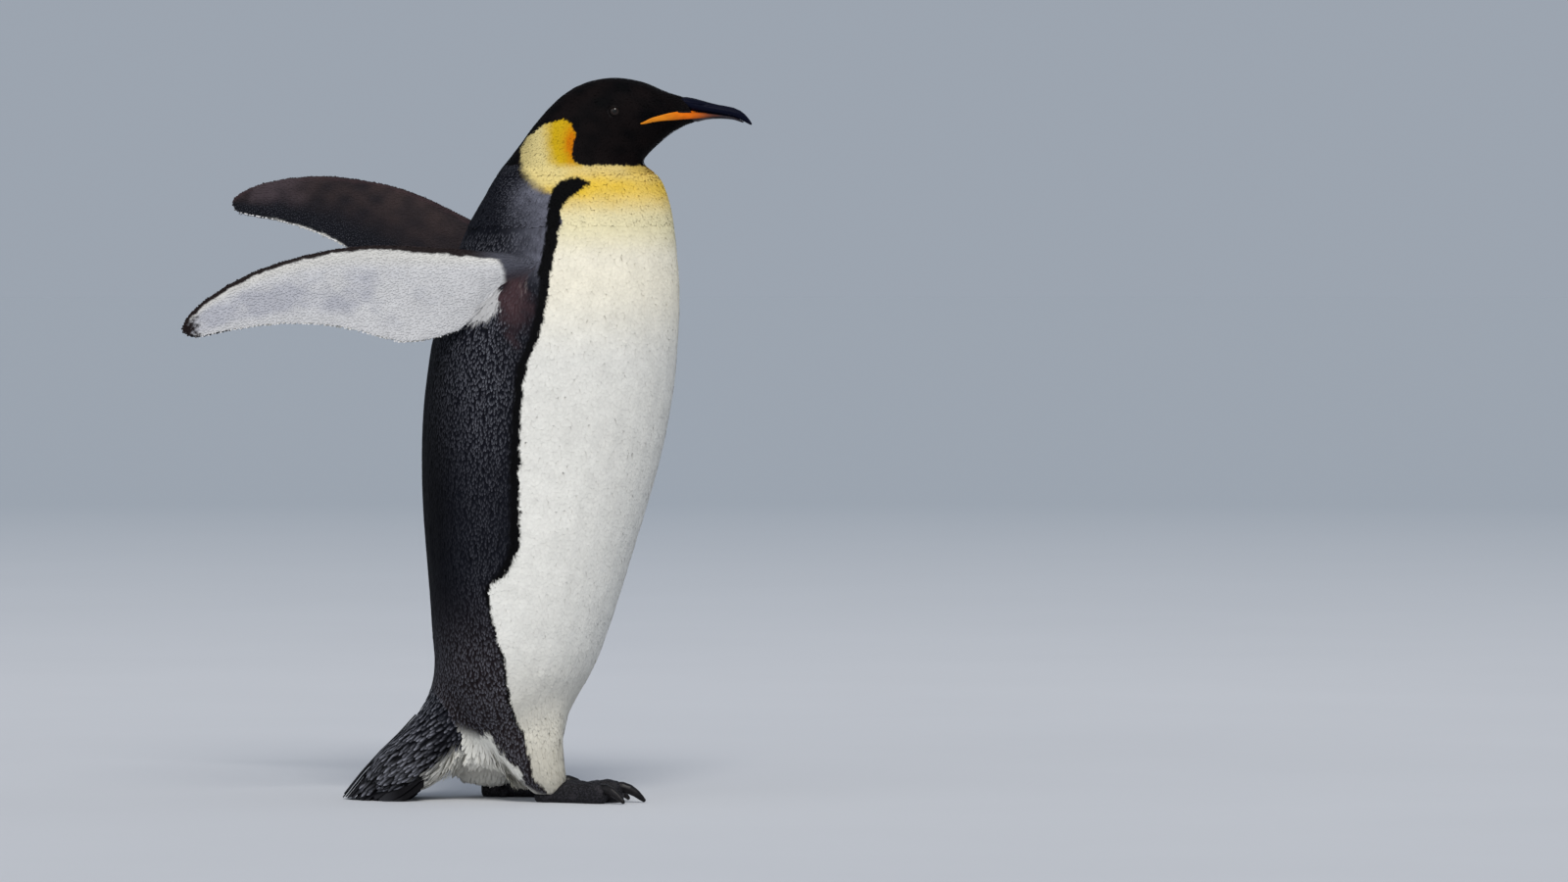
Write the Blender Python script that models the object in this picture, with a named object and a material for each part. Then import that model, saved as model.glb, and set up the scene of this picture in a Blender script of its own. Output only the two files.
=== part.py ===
"""Emperor penguin, life size, walking: a still museum model.

Metres, +Z up. The bird faces +X and its right side is -Y. Its own mid-plane
is Y = 0 while it is modelled; at the end an empty carries every piece so that
the origin lies under the middle of the whole bird's box, on the floor.

The body is one smooth loft from the vent over the neck and head to the root
of the bill, divided at two of its own sections. The other parts are lofts too,
each trimmed where it meets its neighbour. The solids reach to the tips of the
coat.
"""
import math

import bmesh
import bpy
import numpy as np
from mathutils import Vector
from mathutils.bvhtree import BVHTree

# Clearance between neighbouring solids.
GAP = 0.0003

# The body's sections, from the vent up to the root of the bill:
# front point (x, z), back point (x, z), half width, shift of the widest place
# to the back (-) or front (+).
BODY = (
    ((-0.022, 0.060), (-0.088, 0.066), 0.030, 0.00),
    ((0.000, 0.070), (-0.118, 0.086), 0.078, 0.00),
    ((0.018, 0.095), (-0.138, 0.118), 0.108, 0.00),
    ((0.034, 0.133), (-0.152, 0.152), 0.128, -0.02),
    ((0.064, 0.185), (-0.161, 0.190), 0.147, -0.04),
    ((0.088, 0.250), (-0.163, 0.250), 0.162, -0.06),
    ((0.112, 0.327), (-0.169, 0.327), 0.172, -0.08),
    ((0.136, 0.405), (-0.175, 0.405), 0.176, -0.09),
    ((0.158, 0.485), (-0.177, 0.485), 0.175, -0.10),
    ((0.173, 0.565), (-0.172, 0.565), 0.169, -0.11),
    ((0.180, 0.640), (-0.161, 0.640), 0.158, -0.12),
    ((0.182, 0.705), (-0.144, 0.702), 0.143, -0.12),
    ((0.178, 0.758), (-0.128, 0.755), 0.122, -0.10),
    ((0.173, 0.803), (-0.110, 0.800), 0.099, -0.06),
    ((0.165, 0.838), (-0.089, 0.836), 0.079, -0.03),
    ((0.152, 0.866), (-0.071, 0.868), 0.066, 0.00),
    ((0.131, 0.881), (-0.047, 0.898), 0.0585, 0.00),
    ((0.140, 0.896), (-0.013, 0.9440), 0.0545, -0.04),
    ((0.154, 0.909), (0.029, 0.9835), 0.0515, -0.06),
    ((0.168, 0.921), (0.079, 1.0005), 0.0480, -0.06),
    ((0.182, 0.930), (0.128, 0.9955), 0.0395, -0.05),
    ((0.194, 0.936), (0.162, 0.9815), 0.0285, 0.00),
    ((0.2052, 0.9388), (0.1885, 0.9738), 0.0180, 0.00),
)
TRUNK_TOP = 13.0
NECK_TOP = 16.2
BODY_SQUARENESS = 2.15
BODY_SEGMENTS = 32
TRUNK_RINGS = 25
NECK_RINGS = 7
HEAD_RINGS = 16

# The bill: lower point (x, z), upper point (x, z), half width.
BILL_UPPER = (
    ((0.1978, 0.9560), (0.1893, 0.9738), 0.0175),
    ((0.2080, 0.9545), (0.2035, 0.9712), 0.0148),
    ((0.2175, 0.9530), (0.2165, 0.9675), 0.0124),
    ((0.2310, 0.9508), (0.2310, 0.9636), 0.0102),
    ((0.2446, 0.9483), (0.2446, 0.9612), 0.0086),
    ((0.2570, 0.9458), (0.2575, 0.9583), 0.0072),
    ((0.2665, 0.9420), (0.2680, 0.9530), 0.0056),
    ((0.2735, 0.9385), (0.2750, 0.9462), 0.0040),
    ((0.2785, 0.9358), (0.2795, 0.9402), 0.0024),
    ((0.2812, 0.9352), (0.2815, 0.9366), 0.0009),
)
BILL_LOWER = (
    ((0.2056, 0.9390), (0.1990, 0.9542), 0.0168),
    ((0.2175, 0.9422), (0.2140, 0.9522), 0.0128),
    ((0.2310, 0.9434), (0.2300, 0.9502), 0.0098),
    ((0.2446, 0.9434), (0.2446, 0.9478), 0.0078),
    ((0.2560, 0.9422), (0.2560, 0.9456), 0.0060),
    ((0.2640, 0.9398), (0.2640, 0.9424), 0.0042),
    ((0.2700, 0.9378), (0.2700, 0.9392), 0.0020),
)
BILL_SEGMENTS = 14
BILL_RINGS = 12
BILL_SQUARENESS = 2.3

# The eyes, in sockets on the sides of the head.
EYE_PLACE = (0.0925, 0.9535)
EYE_RADIUS = 0.0100
EYE_SINK = 0.0078

# A flipper's blade along its length, from the shoulder to the tip:
# distance, leading edge, trailing edge, thickness.
FLIPPER = (
    (-0.045, 0.034, -0.014, 0.048),
    (-0.012, 0.044, -0.018, 0.046),
    (0.020, 0.052, -0.032, 0.040),
    (0.050, 0.059, -0.047, 0.034),
    (0.085, 0.067, -0.055, 0.029),
    (0.120, 0.075, -0.059, 0.025),
    (0.155, 0.082, -0.056, 0.022),
    (0.190, 0.087, -0.040, 0.020),
    (0.230, 0.089, -0.023, 0.018),
    (0.280, 0.086, -0.009, 0.016),
    (0.330, 0.079, -0.002, 0.014),
    (0.380, 0.064, -0.001, 0.012),
    (0.420, 0.045, -0.003, 0.010),
    (0.440, 0.030, -0.002, 0.008),
    (0.451, 0.015, 0.008, 0.004),
)
FLIPPER_SEGMENTS = 18
FLIPPER_RINGS = 20
FLIPPER_CAMBER = 0.05
SHOULDER = Vector((-0.056, 0.120, 0.713))
# How each flipper is held, in degrees: away from the body, above the
# horizontal, and the leading edge's lean outward. Then how far its shoulder
# is raised.
HOLD_RIGHT = (13.0, -9.0, 10.0, 0.0)
HOLD_LEFT = (23.5, 12.5, 18.0, 0.008)

# The tail's sections, from inside the trunk to the floor:
# lower point (x, z), upper point (x, z), half width.
TAIL = (
    ((-0.060, 0.105), (-0.115, 0.215), 0.078),
    ((-0.092, 0.082), (-0.147, 0.180), 0.080),
    ((-0.118, 0.058), (-0.171, 0.146), 0.077),
    ((-0.140, 0.036), (-0.190, 0.112), 0.070),
    ((-0.162, 0.018), (-0.214, 0.088), 0.065),
    ((-0.186, 0.009), (-0.240, 0.062), 0.061),
    ((-0.214, 0.003), (-0.264, 0.034), 0.056),
    ((-0.246, -0.003), (-0.281, 0.009), 0.048),
    ((-0.268, -0.007), (-0.288, -0.003), 0.038),
)
TAIL_SEGMENTS = 22
TAIL_RINGS = 11
TAIL_SQUARENESS = 2.4

# The feathered legs, from the ankle up into the trunk:
# height, back, front, half width, distance from the mid-plane.
LEG_RIGHT = (
    (0.011, -0.018, 0.017, 0.018, 0.062),
    (0.020, -0.028, 0.024, 0.026, 0.062),
    (0.034, -0.045, 0.026, 0.034, 0.062),
    (0.055, -0.062, 0.023, 0.040, 0.062),
    (0.085, -0.086, 0.022, 0.046, 0.061),
    (0.120, -0.104, 0.024, 0.050, 0.060),
    (0.160, -0.110, 0.024, 0.046, 0.058),
)
LEG_LEFT = (
    (0.015, -0.098, -0.060, 0.020, 0.060),
    (0.023, -0.122, -0.052, 0.030, 0.060),
    (0.036, -0.133, -0.046, 0.038, 0.060),
    (0.058, -0.132, -0.038, 0.043, 0.060),
    (0.088, -0.124, -0.028, 0.047, 0.060),
    (0.120, -0.116, -0.018, 0.050, 0.059),
    (0.160, -0.106, -0.010, 0.046, 0.058),
)
LEG_SEGMENTS = 18
LEG_RINGS = 9
LEG_SQUARENESS = 2.3

# A foot, from its ankle: each toe's turn outward in degrees, its length to
# the claw's root, and its size against the middle toe.
TOES = (("inner", -21.0, 0.088, 0.92), ("middle", 1.0, 0.104, 1.0), ("outer", 22.0, 0.090, 0.95))
# One toe along its length: share of the length, half width, top, bottom.
TOE = (
    (-0.16, 0.0100, 0.018, 0.000),
    (-0.06, 0.0140, 0.027, -0.004),
    (0.12, 0.0150, 0.031, -0.004),
    (0.35, 0.0140, 0.030, -0.004),
    (0.58, 0.0125, 0.028, -0.004),
    (0.80, 0.0130, 0.032, -0.004),
    (0.93, 0.0115, 0.029, -0.003),
    (1.00, 0.0070, 0.022, 0.002),
)
TOE_SEGMENTS = 10
TOE_RINGS = 8
TOE_SQUARENESS = 2.5
ANKLE_RADIUS = 0.0150
ANKLE_TOP = 0.034
WEB_REACH = 0.74
WEB_SAG = 0.86
WEB_TOP = 0.010
WEB_DEPTH = 0.006
# A claw: distance from its root, height above the floor, radius.
CLAW = (
    (-0.012, 0.0215, 0.0052),
    (0.000, 0.0210, 0.0056),
    (0.010, 0.0180, 0.0048),
    (0.019, 0.0125, 0.0034),
    (0.026, 0.0065, 0.0018),
    (0.030, 0.0028, 0.0006),
)
CLAW_SEGMENTS = 8
CLAW_RINGS = 6
HALLUX_TURN = -62.0
HALLUX_LENGTH = 0.030
HALLUX_SIZE = 0.50
# Where each foot stands: the ankle's x, its distance from the mid-plane, and
# the foot's turn outward in degrees.
STAND_RIGHT = (0.000, 0.062, 5.0)
STAND_LEFT = (-0.078, 0.060, 5.0)

RIGHT = -1.0
LEFT = 1.0


def clear_scene():
    for old in list(bpy.data.objects):
        bpy.data.objects.remove(old, do_unlink=True)


def new_collection(name):
    collection = bpy.data.collections.new(name)
    bpy.context.scene.collection.children.link(collection)
    return collection


def material(name, colour, roughness, metallic=0.0):
    made = bpy.data.materials.new(name)
    made.use_nodes = True
    shader = made.node_tree.nodes["Principled BSDF"]
    shader.inputs["Base Color"].default_value = (*colour, 1.0)
    shader.inputs["Roughness"].default_value = roughness
    shader.inputs["Metallic"].default_value = metallic
    return made


def read_rows(rows, where):
    """A smooth curve through the rows (Catmull-Rom), read at row numbers."""
    table = np.array(rows, dtype=float)
    last = len(table) - 1
    padded = np.vstack((2 * table[0] - table[1], table, 2 * table[-1] - table[-2]))
    result = []
    for place in where:
        low = min(int(math.floor(place)), last - 1)
        part = place - low
        before, start, end, after = padded[low:low + 4]
        result.append(
            start + 0.5 * part * (end - before)
            + part * part * (before - 2.5 * start + 2 * end - 0.5 * after)
            + 0.5 * part ** 3 * (3 * start - 3 * end + after - before)
        )
    return np.array(result)


def round_power(value, squareness):
    return math.copysign(abs(value) ** (2.0 / squareness), value)


def oval_ring(centre, reach, side, segments, squareness, bias=0.0):
    """A closed section: reach is its half length, side its half width."""
    points = []
    for step in range(segments):
        angle = 2 * math.pi * step / segments
        along = round_power(math.cos(angle), squareness)
        across = round_power(math.sin(angle), squareness)
        across *= 1 + bias * math.cos(angle)
        points.append(centre + reach * along + side * across)
    return points


def loft(name, rings, collection):
    """One closed mesh through a row of like sections, with flat ends."""
    mesh = bpy.data.meshes.new(name)
    work = bmesh.new()
    loops = [[work.verts.new(point) for point in ring] for ring in rings]
    for low, high in zip(loops, loops[1:]):
        for step in range(len(low)):
            after = (step + 1) % len(low)
            work.faces.new((low[step], low[after], high[after], high[step]))
    work.faces.new(loops[0])
    work.faces.new(loops[-1])
    bmesh.ops.recalc_face_normals(work, faces=work.faces)
    work.to_mesh(mesh)
    work.free()
    mesh.shade_smooth()
    made = bpy.data.objects.new(name, mesh)
    collection.objects.link(made)
    return made


def flat_rows(rows):
    """Nested (x, z) pairs and numbers as plain rows of numbers."""
    return [[number for cell in row for number in np.ravel(cell)] for row in rows]


def upright_rings(rows, where, segments, squareness, side=0.0):
    """Sections across the mid-plane: two (x, z) ends, a half width, a bias."""
    rings = []
    for row in read_rows(flat_rows(rows), where):
        first = Vector((row[0], side, row[1]))
        second = Vector((row[2], side, row[3]))
        width = Vector((0.0, row[4], 0.0))
        bias = row[5] if len(row) > 5 else 0.0
        middle = (first + second) / 2
        rings.append(oval_ring(middle, first - middle, width, segments, squareness, bias))
    return rings


def move_to(made, collection):
    for home in list(made.users_collection):
        home.objects.unlink(made)
    collection.objects.link(made)


def as_cutter(made, cutters):
    """A guide solid: it shapes its neighbours and isn't part of the bird."""
    move_to(made, cutters)
    made.hide_render = True
    made.display_type = "WIRE"
    return made


def grown_copy(source, cutters):
    """The source's outer shape with the clearance added all round."""
    copy = source.copy()
    copy.name = source.name + "_clearance"
    as_cutter(copy, cutters)
    swell = copy.modifiers.new("clearance", "DISPLACE")
    swell.direction = "NORMAL"
    swell.mid_level = 0.0
    swell.strength = GAP
    return copy


def boolean(target, tool, operation):
    step = target.modifiers.new(operation.lower() + "_" + tool.name, "BOOLEAN")
    step.operation = operation
    step.solver = "EXACT"
    step.object = tool


def make_body(parts, plumage):
    """Trunk, neck and head: one loft, divided at two sections."""
    table = np.array(flat_rows(BODY))
    last = len(table) - 1.0
    spans = (
        ("trunk", 0.0, TRUNK_TOP, TRUNK_RINGS),
        ("neck", TRUNK_TOP, NECK_TOP, NECK_RINGS),
        ("head", NECK_TOP, last, HEAD_RINGS),
    )
    made = {}
    for name, low, high, count in spans:
        if low > 0.0:
            ends = read_rows(table, (low, low + 0.1))
            front = math.dist(ends[0][0:2], ends[1][0:2])
            back = math.dist(ends[0][2:4], ends[1][2:4])
            low += 0.1 * GAP / min(front, back)
        where = np.linspace(low, high, count)
        rings = upright_rings(table, where, BODY_SEGMENTS, BODY_SQUARENESS)
        made[name] = loft(name, rings, parts)
        made[name].data.materials.append(plumage[name])
    return made


def make_bill(parts, horn, plate):
    for name, rows, finish in (
        ("bill_upper", BILL_UPPER, horn),
        ("bill_lower", BILL_LOWER, plate),
    ):
        where = np.linspace(0.0, len(rows) - 1.0, BILL_RINGS)
        rings = upright_rings(rows, where, BILL_SEGMENTS, BILL_SQUARENESS)
        made = loft(name, rings, parts)
        made.data.materials.append(finish)


def side_of(head, x, z, side):
    """How far out the head's surface lies at x and z."""
    work = bmesh.new()
    work.from_mesh(head.data)
    tree = BVHTree.FromBMesh(work)
    place = tree.ray_cast(Vector((x, side, z)), Vector((0.0, -side, 0.0)))[0]
    work.free()
    return place.y


def make_eyes(parts, cutters, head, iris):
    x, z = EYE_PLACE
    for name, side in (("eye_right", RIGHT), ("eye_left", LEFT)):
        y = side_of(head, x, z, side) - side * EYE_SINK
        for radius, kind in ((EYE_RADIUS, name), (EYE_RADIUS + GAP, name + "_socket")):
            bpy.ops.mesh.primitive_uv_sphere_add(
                segments=14, ring_count=8, radius=radius, location=(x, y, z))
            made = bpy.context.object
            made.name = kind
            made.data.name = kind
            made.data.shade_smooth()
            if kind == name:
                move_to(made, parts)
                made.data.materials.append(iris)
            else:
                as_cutter(made, cutters)
                boolean(head, made, "DIFFERENCE")


def blade_frame(side, hold):
    """A flipper's axes: along the blade, towards its leading edge, and across."""
    away, rise, lean = (math.radians(angle) for angle in hold[:3])
    along = Vector((
        -math.cos(rise) * math.cos(away),
        side * math.cos(rise) * math.sin(away),
        math.sin(rise),
    ))
    up = Vector((0.0, 0.0, 1.0))
    edge = (up - along * along.z).normalized()
    outward = along.cross(edge)
    if outward.y * side < 0:
        outward.negate()
    edge = edge * math.cos(lean) + outward * math.sin(lean)
    across = along.cross(edge) * -side
    return along, edge.normalized(), across.normalized()


def make_flipper(name, side, hold, parts, trunk_space, finish):
    """A blade with a round leading edge and a thin trailing edge."""
    along, edge, across = blade_frame(side, hold)
    root = Vector((SHOULDER.x, side * SHOULDER.y, SHOULDER.z + hold[3]))
    rings = []
    where = np.linspace(0.0, len(FLIPPER) - 1.0, FLIPPER_RINGS)
    for distance, lead, trail, thickness in read_rows(FLIPPER, where):
        middle = (lead + trail) / 2
        reach = (lead - trail) / 2
        ring = []
        for step in range(FLIPPER_SEGMENTS):
            angle = 2 * math.pi * step / FLIPPER_SEGMENTS
            chord = math.cos(angle)
            height = thickness / 2 * math.sin(angle) * (0.62 + 0.38 * chord)
            height += FLIPPER_CAMBER * reach * (1 - chord * chord)
            ring.append(root + along * distance + edge * (middle + reach * chord) + across * height)
        rings.append(ring)
    made = loft(name, rings, parts)
    made.data.materials.append(finish)
    boolean(made, trunk_space, "DIFFERENCE")
    return made


def make_tail(parts, floor, trunk_space, finish):
    where = np.linspace(0.0, len(TAIL) - 1.0, TAIL_RINGS)
    made = loft("tail", upright_rings(TAIL, where, TAIL_SEGMENTS, TAIL_SQUARENESS), parts)
    made.data.materials.append(finish)
    boolean(made, floor, "DIFFERENCE")
    boolean(made, trunk_space, "DIFFERENCE")
    return made


def make_leg(name, side, rows, parts, spaces, finish):
    rings = []
    where = np.linspace(0.0, len(rows) - 1.0, LEG_RINGS)
    for height, back, front, half_width, distance in read_rows(rows, where):
        middle = Vector(((front + back) / 2, side * distance, height))
        reach = Vector(((front - back) / 2, 0.0, 0.0))
        width = Vector((0.0, half_width, 0.0))
        rings.append(oval_ring(middle, reach, width, LEG_SEGMENTS, LEG_SQUARENESS))
    made = loft(name, rings, parts)
    made.data.materials.append(finish)
    for space in spaces:
        boolean(made, space, "DIFFERENCE")
    return made


def ray_rings(rows, place, turn, length, size, segments, squareness):
    """Sections along a straight toe: share, half width, top, bottom."""
    heading = Vector((math.cos(turn), math.sin(turn), 0.0))
    width = Vector((-math.sin(turn), math.cos(turn), 0.0))
    up = Vector((0.0, 0.0, 1.0))
    rings = []
    where = np.linspace(0.0, len(rows) - 1.0, TOE_RINGS)
    for share, half_width, top, bottom in read_rows(rows, where):
        top = bottom + (top - bottom) * size
        middle = place + heading * (share * length) + up * ((top + bottom) / 2)
        reach = up * ((top - bottom) / 2)
        rings.append(oval_ring(middle, reach, width * (half_width * size), segments, squareness))
    return rings


def make_claw(name, place, turn, size, parts, cutters, foot, horn):
    heading = Vector((math.cos(turn), math.sin(turn), 0.0))
    width = Vector((-math.sin(turn), math.cos(turn), 0.0))
    up = Vector((0.0, 0.0, 1.0))
    lowest = min(height for _, height, _ in CLAW)
    rings = []
    where = np.linspace(0.0, len(CLAW) - 1.0, CLAW_RINGS)
    centres = [
        place + heading * (distance * size) + up * (lowest + (height - lowest) * size)
        for distance, height, _ in read_rows(CLAW, where)
    ]
    radii = [radius * size for _, _, radius in read_rows(CLAW, where)]
    for number, (centre, radius) in enumerate(zip(centres, radii)):
        before = centres[max(number - 1, 0)]
        after = centres[min(number + 1, len(centres) - 1)]
        across = (after - before).normalized().cross(width)
        rings.append(oval_ring(centre, across * radius, width * radius * 0.85, CLAW_SEGMENTS, 2.0))
    made = loft(name, rings, parts)
    made.data.materials.append(horn)
    boolean(foot, grown_copy(made, cutters), "DIFFERENCE")


def make_web(name, place, turns, lengths, cutters):
    """The skin between the toes, its front edge curving back between them."""
    outline = [place + Vector((0.0, 0.0, -WEB_DEPTH))]
    for number, (turn, length) in enumerate(zip(turns, lengths)):
        heading = Vector((math.cos(turn), math.sin(turn), 0.0))
        outline.append(outline[0] + heading * (length * WEB_REACH))
        if number + 1 < len(turns):
            between = (turn + turns[number + 1]) / 2
            reach = min(length, lengths[number + 1]) * WEB_REACH * WEB_SAG
            heading = Vector((math.cos(between), math.sin(between), 0.0))
            outline.append(outline[0] + heading * reach)
    work = bmesh.new()
    face = work.faces.new([work.verts.new(point) for point in outline])
    raised = bmesh.ops.extrude_face_region(work, geom=[face])["geom"]
    corners = [item for item in raised if isinstance(item, bmesh.types.BMVert)]
    bmesh.ops.translate(work, verts=corners, vec=(0.0, 0.0, WEB_TOP + WEB_DEPTH))
    bmesh.ops.recalc_face_normals(work, faces=work.faces)
    mesh = bpy.data.meshes.new(name)
    work.to_mesh(mesh)
    work.free()
    return as_cutter(bpy.data.objects.new(name, mesh), cutters)


def make_ankle(name, place, parts):
    bpy.ops.mesh.primitive_cylinder_add(
        vertices=16, radius=ANKLE_RADIUS, depth=ANKLE_TOP + WEB_DEPTH,
        location=place + Vector((0.0, 0.0, (ANKLE_TOP - WEB_DEPTH) / 2)))
    made = bpy.context.object
    made.name = name
    made.data.name = name
    move_to(made, parts)
    return made


def make_foot(side_name, side, stand, parts, cutters, floor, leg_space, skin, horn):
    """Three webbed toes and a small hind toe joined on the ankle, flat below."""
    x, distance, turned = stand
    place = Vector((x, side * distance, 0.0))
    foot = make_ankle("foot_" + side_name, place, parts)
    foot.data.materials.append(skin)
    turns = []
    lengths = []
    for toe, turn, length, size in TOES:
        angle = math.radians(turn + turned) * side
        turns.append(angle)
        lengths.append(length)
        rings = ray_rings(TOE, place, angle, length, size, TOE_SEGMENTS, TOE_SQUARENESS)
        boolean(foot, as_cutter(loft(f"toe_{side_name}_{toe}", rings, cutters), cutters), "UNION")
    boolean(foot, make_web("web_" + side_name, place, turns, lengths, cutters), "UNION")
    hind = math.radians(HALLUX_TURN + turned) * side
    rings = ray_rings(TOE, place, hind, HALLUX_LENGTH, HALLUX_SIZE, TOE_SEGMENTS, TOE_SQUARENESS)
    boolean(foot, as_cutter(loft("hallux_" + side_name, rings, cutters), cutters), "UNION")
    boolean(foot, floor, "DIFFERENCE")
    boolean(foot, leg_space, "DIFFERENCE")
    for (toe, _, length, size), angle in zip(TOES, turns):
        heading = Vector((math.cos(angle), math.sin(angle), 0.0))
        make_claw(f"claw_{side_name}_{toe}", place + heading * length, angle, size,
                  parts, cutters, foot, horn)


def make_floor(cutters):
    """The ground, which levels the soles and the tail's tip."""
    bpy.ops.mesh.primitive_cube_add(size=1.0, location=(0.0, 0.0, -0.5))
    made = bpy.context.object
    made.name = "ground"
    return as_cutter(made, cutters)


def stand_on_origin(collections):
    """Carry every piece so that the box's bottom centre is the origin."""
    bpy.context.view_layer.update()
    graph = bpy.context.evaluated_depsgraph_get()
    low = Vector((1e9, 1e9, 1e9))
    high = -low
    for made in collections[0].objects:
        shape = made.evaluated_get(graph)
        for vertex in shape.data.vertices:
            point = shape.matrix_world @ vertex.co
            low = Vector(map(min, low, point))
            high = Vector(map(max, high, point))
    carrier = bpy.data.objects.new("penguin", None)
    bpy.context.scene.collection.objects.link(carrier)
    carrier.location = (-(low.x + high.x) / 2, -(low.y + high.y) / 2, -low.z)
    for collection in collections:
        for made in collection.objects:
            made.parent = carrier


def main():
    clear_scene()
    parts = new_collection("emperor_penguin")
    cutters = new_collection("cutters")

    dark = material("dark_feathers", (0.030, 0.034, 0.042), 0.62)
    black = material("black_feathers", (0.010, 0.010, 0.011), 0.55)
    pale = material("pale_feathers", (0.72, 0.70, 0.60), 0.66)
    gold = material("gold_feathers", (0.80, 0.58, 0.12), 0.66)
    horn = material("dark_horn", (0.020, 0.017, 0.020), 0.32)
    plate = material("orange_horn", (0.80, 0.22, 0.04), 0.35)
    iris = material("brown_eye", (0.030, 0.014, 0.008), 0.06)
    skin = material("black_skin", (0.022, 0.020, 0.021), 0.70)

    body = make_body(parts, {"trunk": pale, "neck": gold, "head": black})
    make_bill(parts, horn, plate)
    make_eyes(parts, cutters, body["head"], iris)

    floor = make_floor(cutters)
    trunk_space = grown_copy(body["trunk"], cutters)
    make_flipper("flipper_right", RIGHT, HOLD_RIGHT, parts, trunk_space, dark)
    make_flipper("flipper_left", LEFT, HOLD_LEFT, parts, trunk_space, dark)
    tail = make_tail(parts, floor, trunk_space, dark)
    tail_space = grown_copy(tail, cutters)

    for side_name, side, rows, stand in (
        ("right", RIGHT, LEG_RIGHT, STAND_RIGHT),
        ("left", LEFT, LEG_LEFT, STAND_LEFT),
    ):
        leg = make_leg("leg_" + side_name, side, rows, parts, (trunk_space, tail_space), pale)
        leg_space = grown_copy(leg, cutters)
        make_foot(side_name, side, stand, parts, cutters, floor, leg_space, skin, horn)

    stand_on_origin((parts, cutters))


main()
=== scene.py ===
"""Emperor penguin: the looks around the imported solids.

One skin replaces the nodes of flesh. A coat of feather vanes lies over it, and
bill, eyes, claws and feet are finished as pieces of their own. All places are
in the bird's own frame: x forward from the middle of the trunk's box, y from
the bird's mid-plane, z up from the floor, in metres.
"""
import math

import bmesh
import bpy
import numpy as np
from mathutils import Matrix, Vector, noise
from mathutils.bvhtree import BVHTree


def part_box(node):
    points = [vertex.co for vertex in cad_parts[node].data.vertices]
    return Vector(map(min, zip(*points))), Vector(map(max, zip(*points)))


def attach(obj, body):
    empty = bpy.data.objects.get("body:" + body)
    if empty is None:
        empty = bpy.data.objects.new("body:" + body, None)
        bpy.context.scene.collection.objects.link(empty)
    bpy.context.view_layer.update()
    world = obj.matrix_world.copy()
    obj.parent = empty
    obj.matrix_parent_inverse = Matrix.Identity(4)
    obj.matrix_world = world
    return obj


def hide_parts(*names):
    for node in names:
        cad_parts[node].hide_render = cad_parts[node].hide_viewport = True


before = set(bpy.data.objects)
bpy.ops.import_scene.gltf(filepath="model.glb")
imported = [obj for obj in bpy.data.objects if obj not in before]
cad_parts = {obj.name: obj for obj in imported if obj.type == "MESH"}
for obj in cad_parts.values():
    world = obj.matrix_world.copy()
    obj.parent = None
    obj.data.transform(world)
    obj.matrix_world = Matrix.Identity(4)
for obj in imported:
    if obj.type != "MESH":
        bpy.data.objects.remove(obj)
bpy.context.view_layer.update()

# The bird's frame: its origin from the trunk's box.
TRUNK_LOW, TRUNK_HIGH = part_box("trunk")
TRUNK_MIDDLE_X = 0.0026
ORIGIN = Vector((
    (TRUNK_LOW.x + TRUNK_HIGH.x) / 2 - TRUNK_MIDDLE_X,
    (TRUNK_LOW.y + TRUNK_HIGH.y) / 2,
    0.0,
))
SHIFT = np.array(ORIGIN)

FLESH = ("trunk", "neck", "head", "tail", "leg_right", "leg_left", "flipper_right", "flipper_left")
TRUNK, NECK, HEAD, TAIL, LEG_RIGHT, LEG_LEFT, FLIPPER_RIGHT, FLIPPER_LEFT = range(len(FLESH))
LEGS = (LEG_RIGHT, LEG_LEFT)
SIDES = (("right", -1.0), ("left", 1.0))
SEED = 7

# How deep the skin lies under the coat's tips, in the order of FLESH.
COAT_DEPTH = np.array((0.0018, 0.0018, 0.0016, 0.0040, 0.0027, 0.0027, 0.0006, 0.0006))
# The flippers' thin edges lose this much to the remesh, and get it back.
EDGE_GROWTH = 0.0016
SKIN_VOXEL = 0.0019
SKIN_FACES = 185000
SKIN_WELD = 0.0005
SKIN_FLOOR = 0.0045
SEAM_ROUNDS = 300
FLOW_ROUNDS = 40

# Flippers: shoulder, and how each is held (side, degrees away from the body,
# above the horizontal, leading edge's lean outward, and the shoulder's lift).
SHOULDER = (-0.056, 0.120, 0.713)
HOLDS = {FLIPPER_RIGHT: (-1.0, 13.0, -9.0, 10.0, 0.0), FLIPPER_LEFT: (1.0, 23.5, 12.5, 18.0, 0.008)}
# A flipper's outline: distance along it, leading edge, trailing edge.
BLADE = np.array((
    (-0.045, 0.034, -0.014), (0.020, 0.052, -0.032), (0.085, 0.067, -0.055),
    (0.120, 0.075, -0.059), (0.155, 0.082, -0.056), (0.190, 0.087, -0.040),
    (0.230, 0.089, -0.023), (0.280, 0.086, -0.009), (0.330, 0.079, -0.002),
    (0.380, 0.064, -0.001), (0.420, 0.045, -0.003), (0.440, 0.030, -0.002),
    (0.451, 0.015, 0.008),
))

# The tail's axis, and the places where its skin and its soft coat end.
TAIL_ROOT = np.array((-0.120, 0.0, 0.110))
TAIL_HEADING = np.array((-0.800, 0.0, -0.600))
TAIL_BELOW = np.array((0.600, 0.0, -0.800))
TAIL_SKIN_END = 0.120
TAIL_SKIN_CUT = 0.45
TAIL_COAT_END = 0.146
TAIL_BLUNT = 0.45

HEAD_COAT_Z = 0.868
BILL_ROOT = np.array((0.206, 0.0, 0.955))
EYE_PLACE = np.array((0.0925, 0.9535))
EYE_RIM = 0.0078

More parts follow.
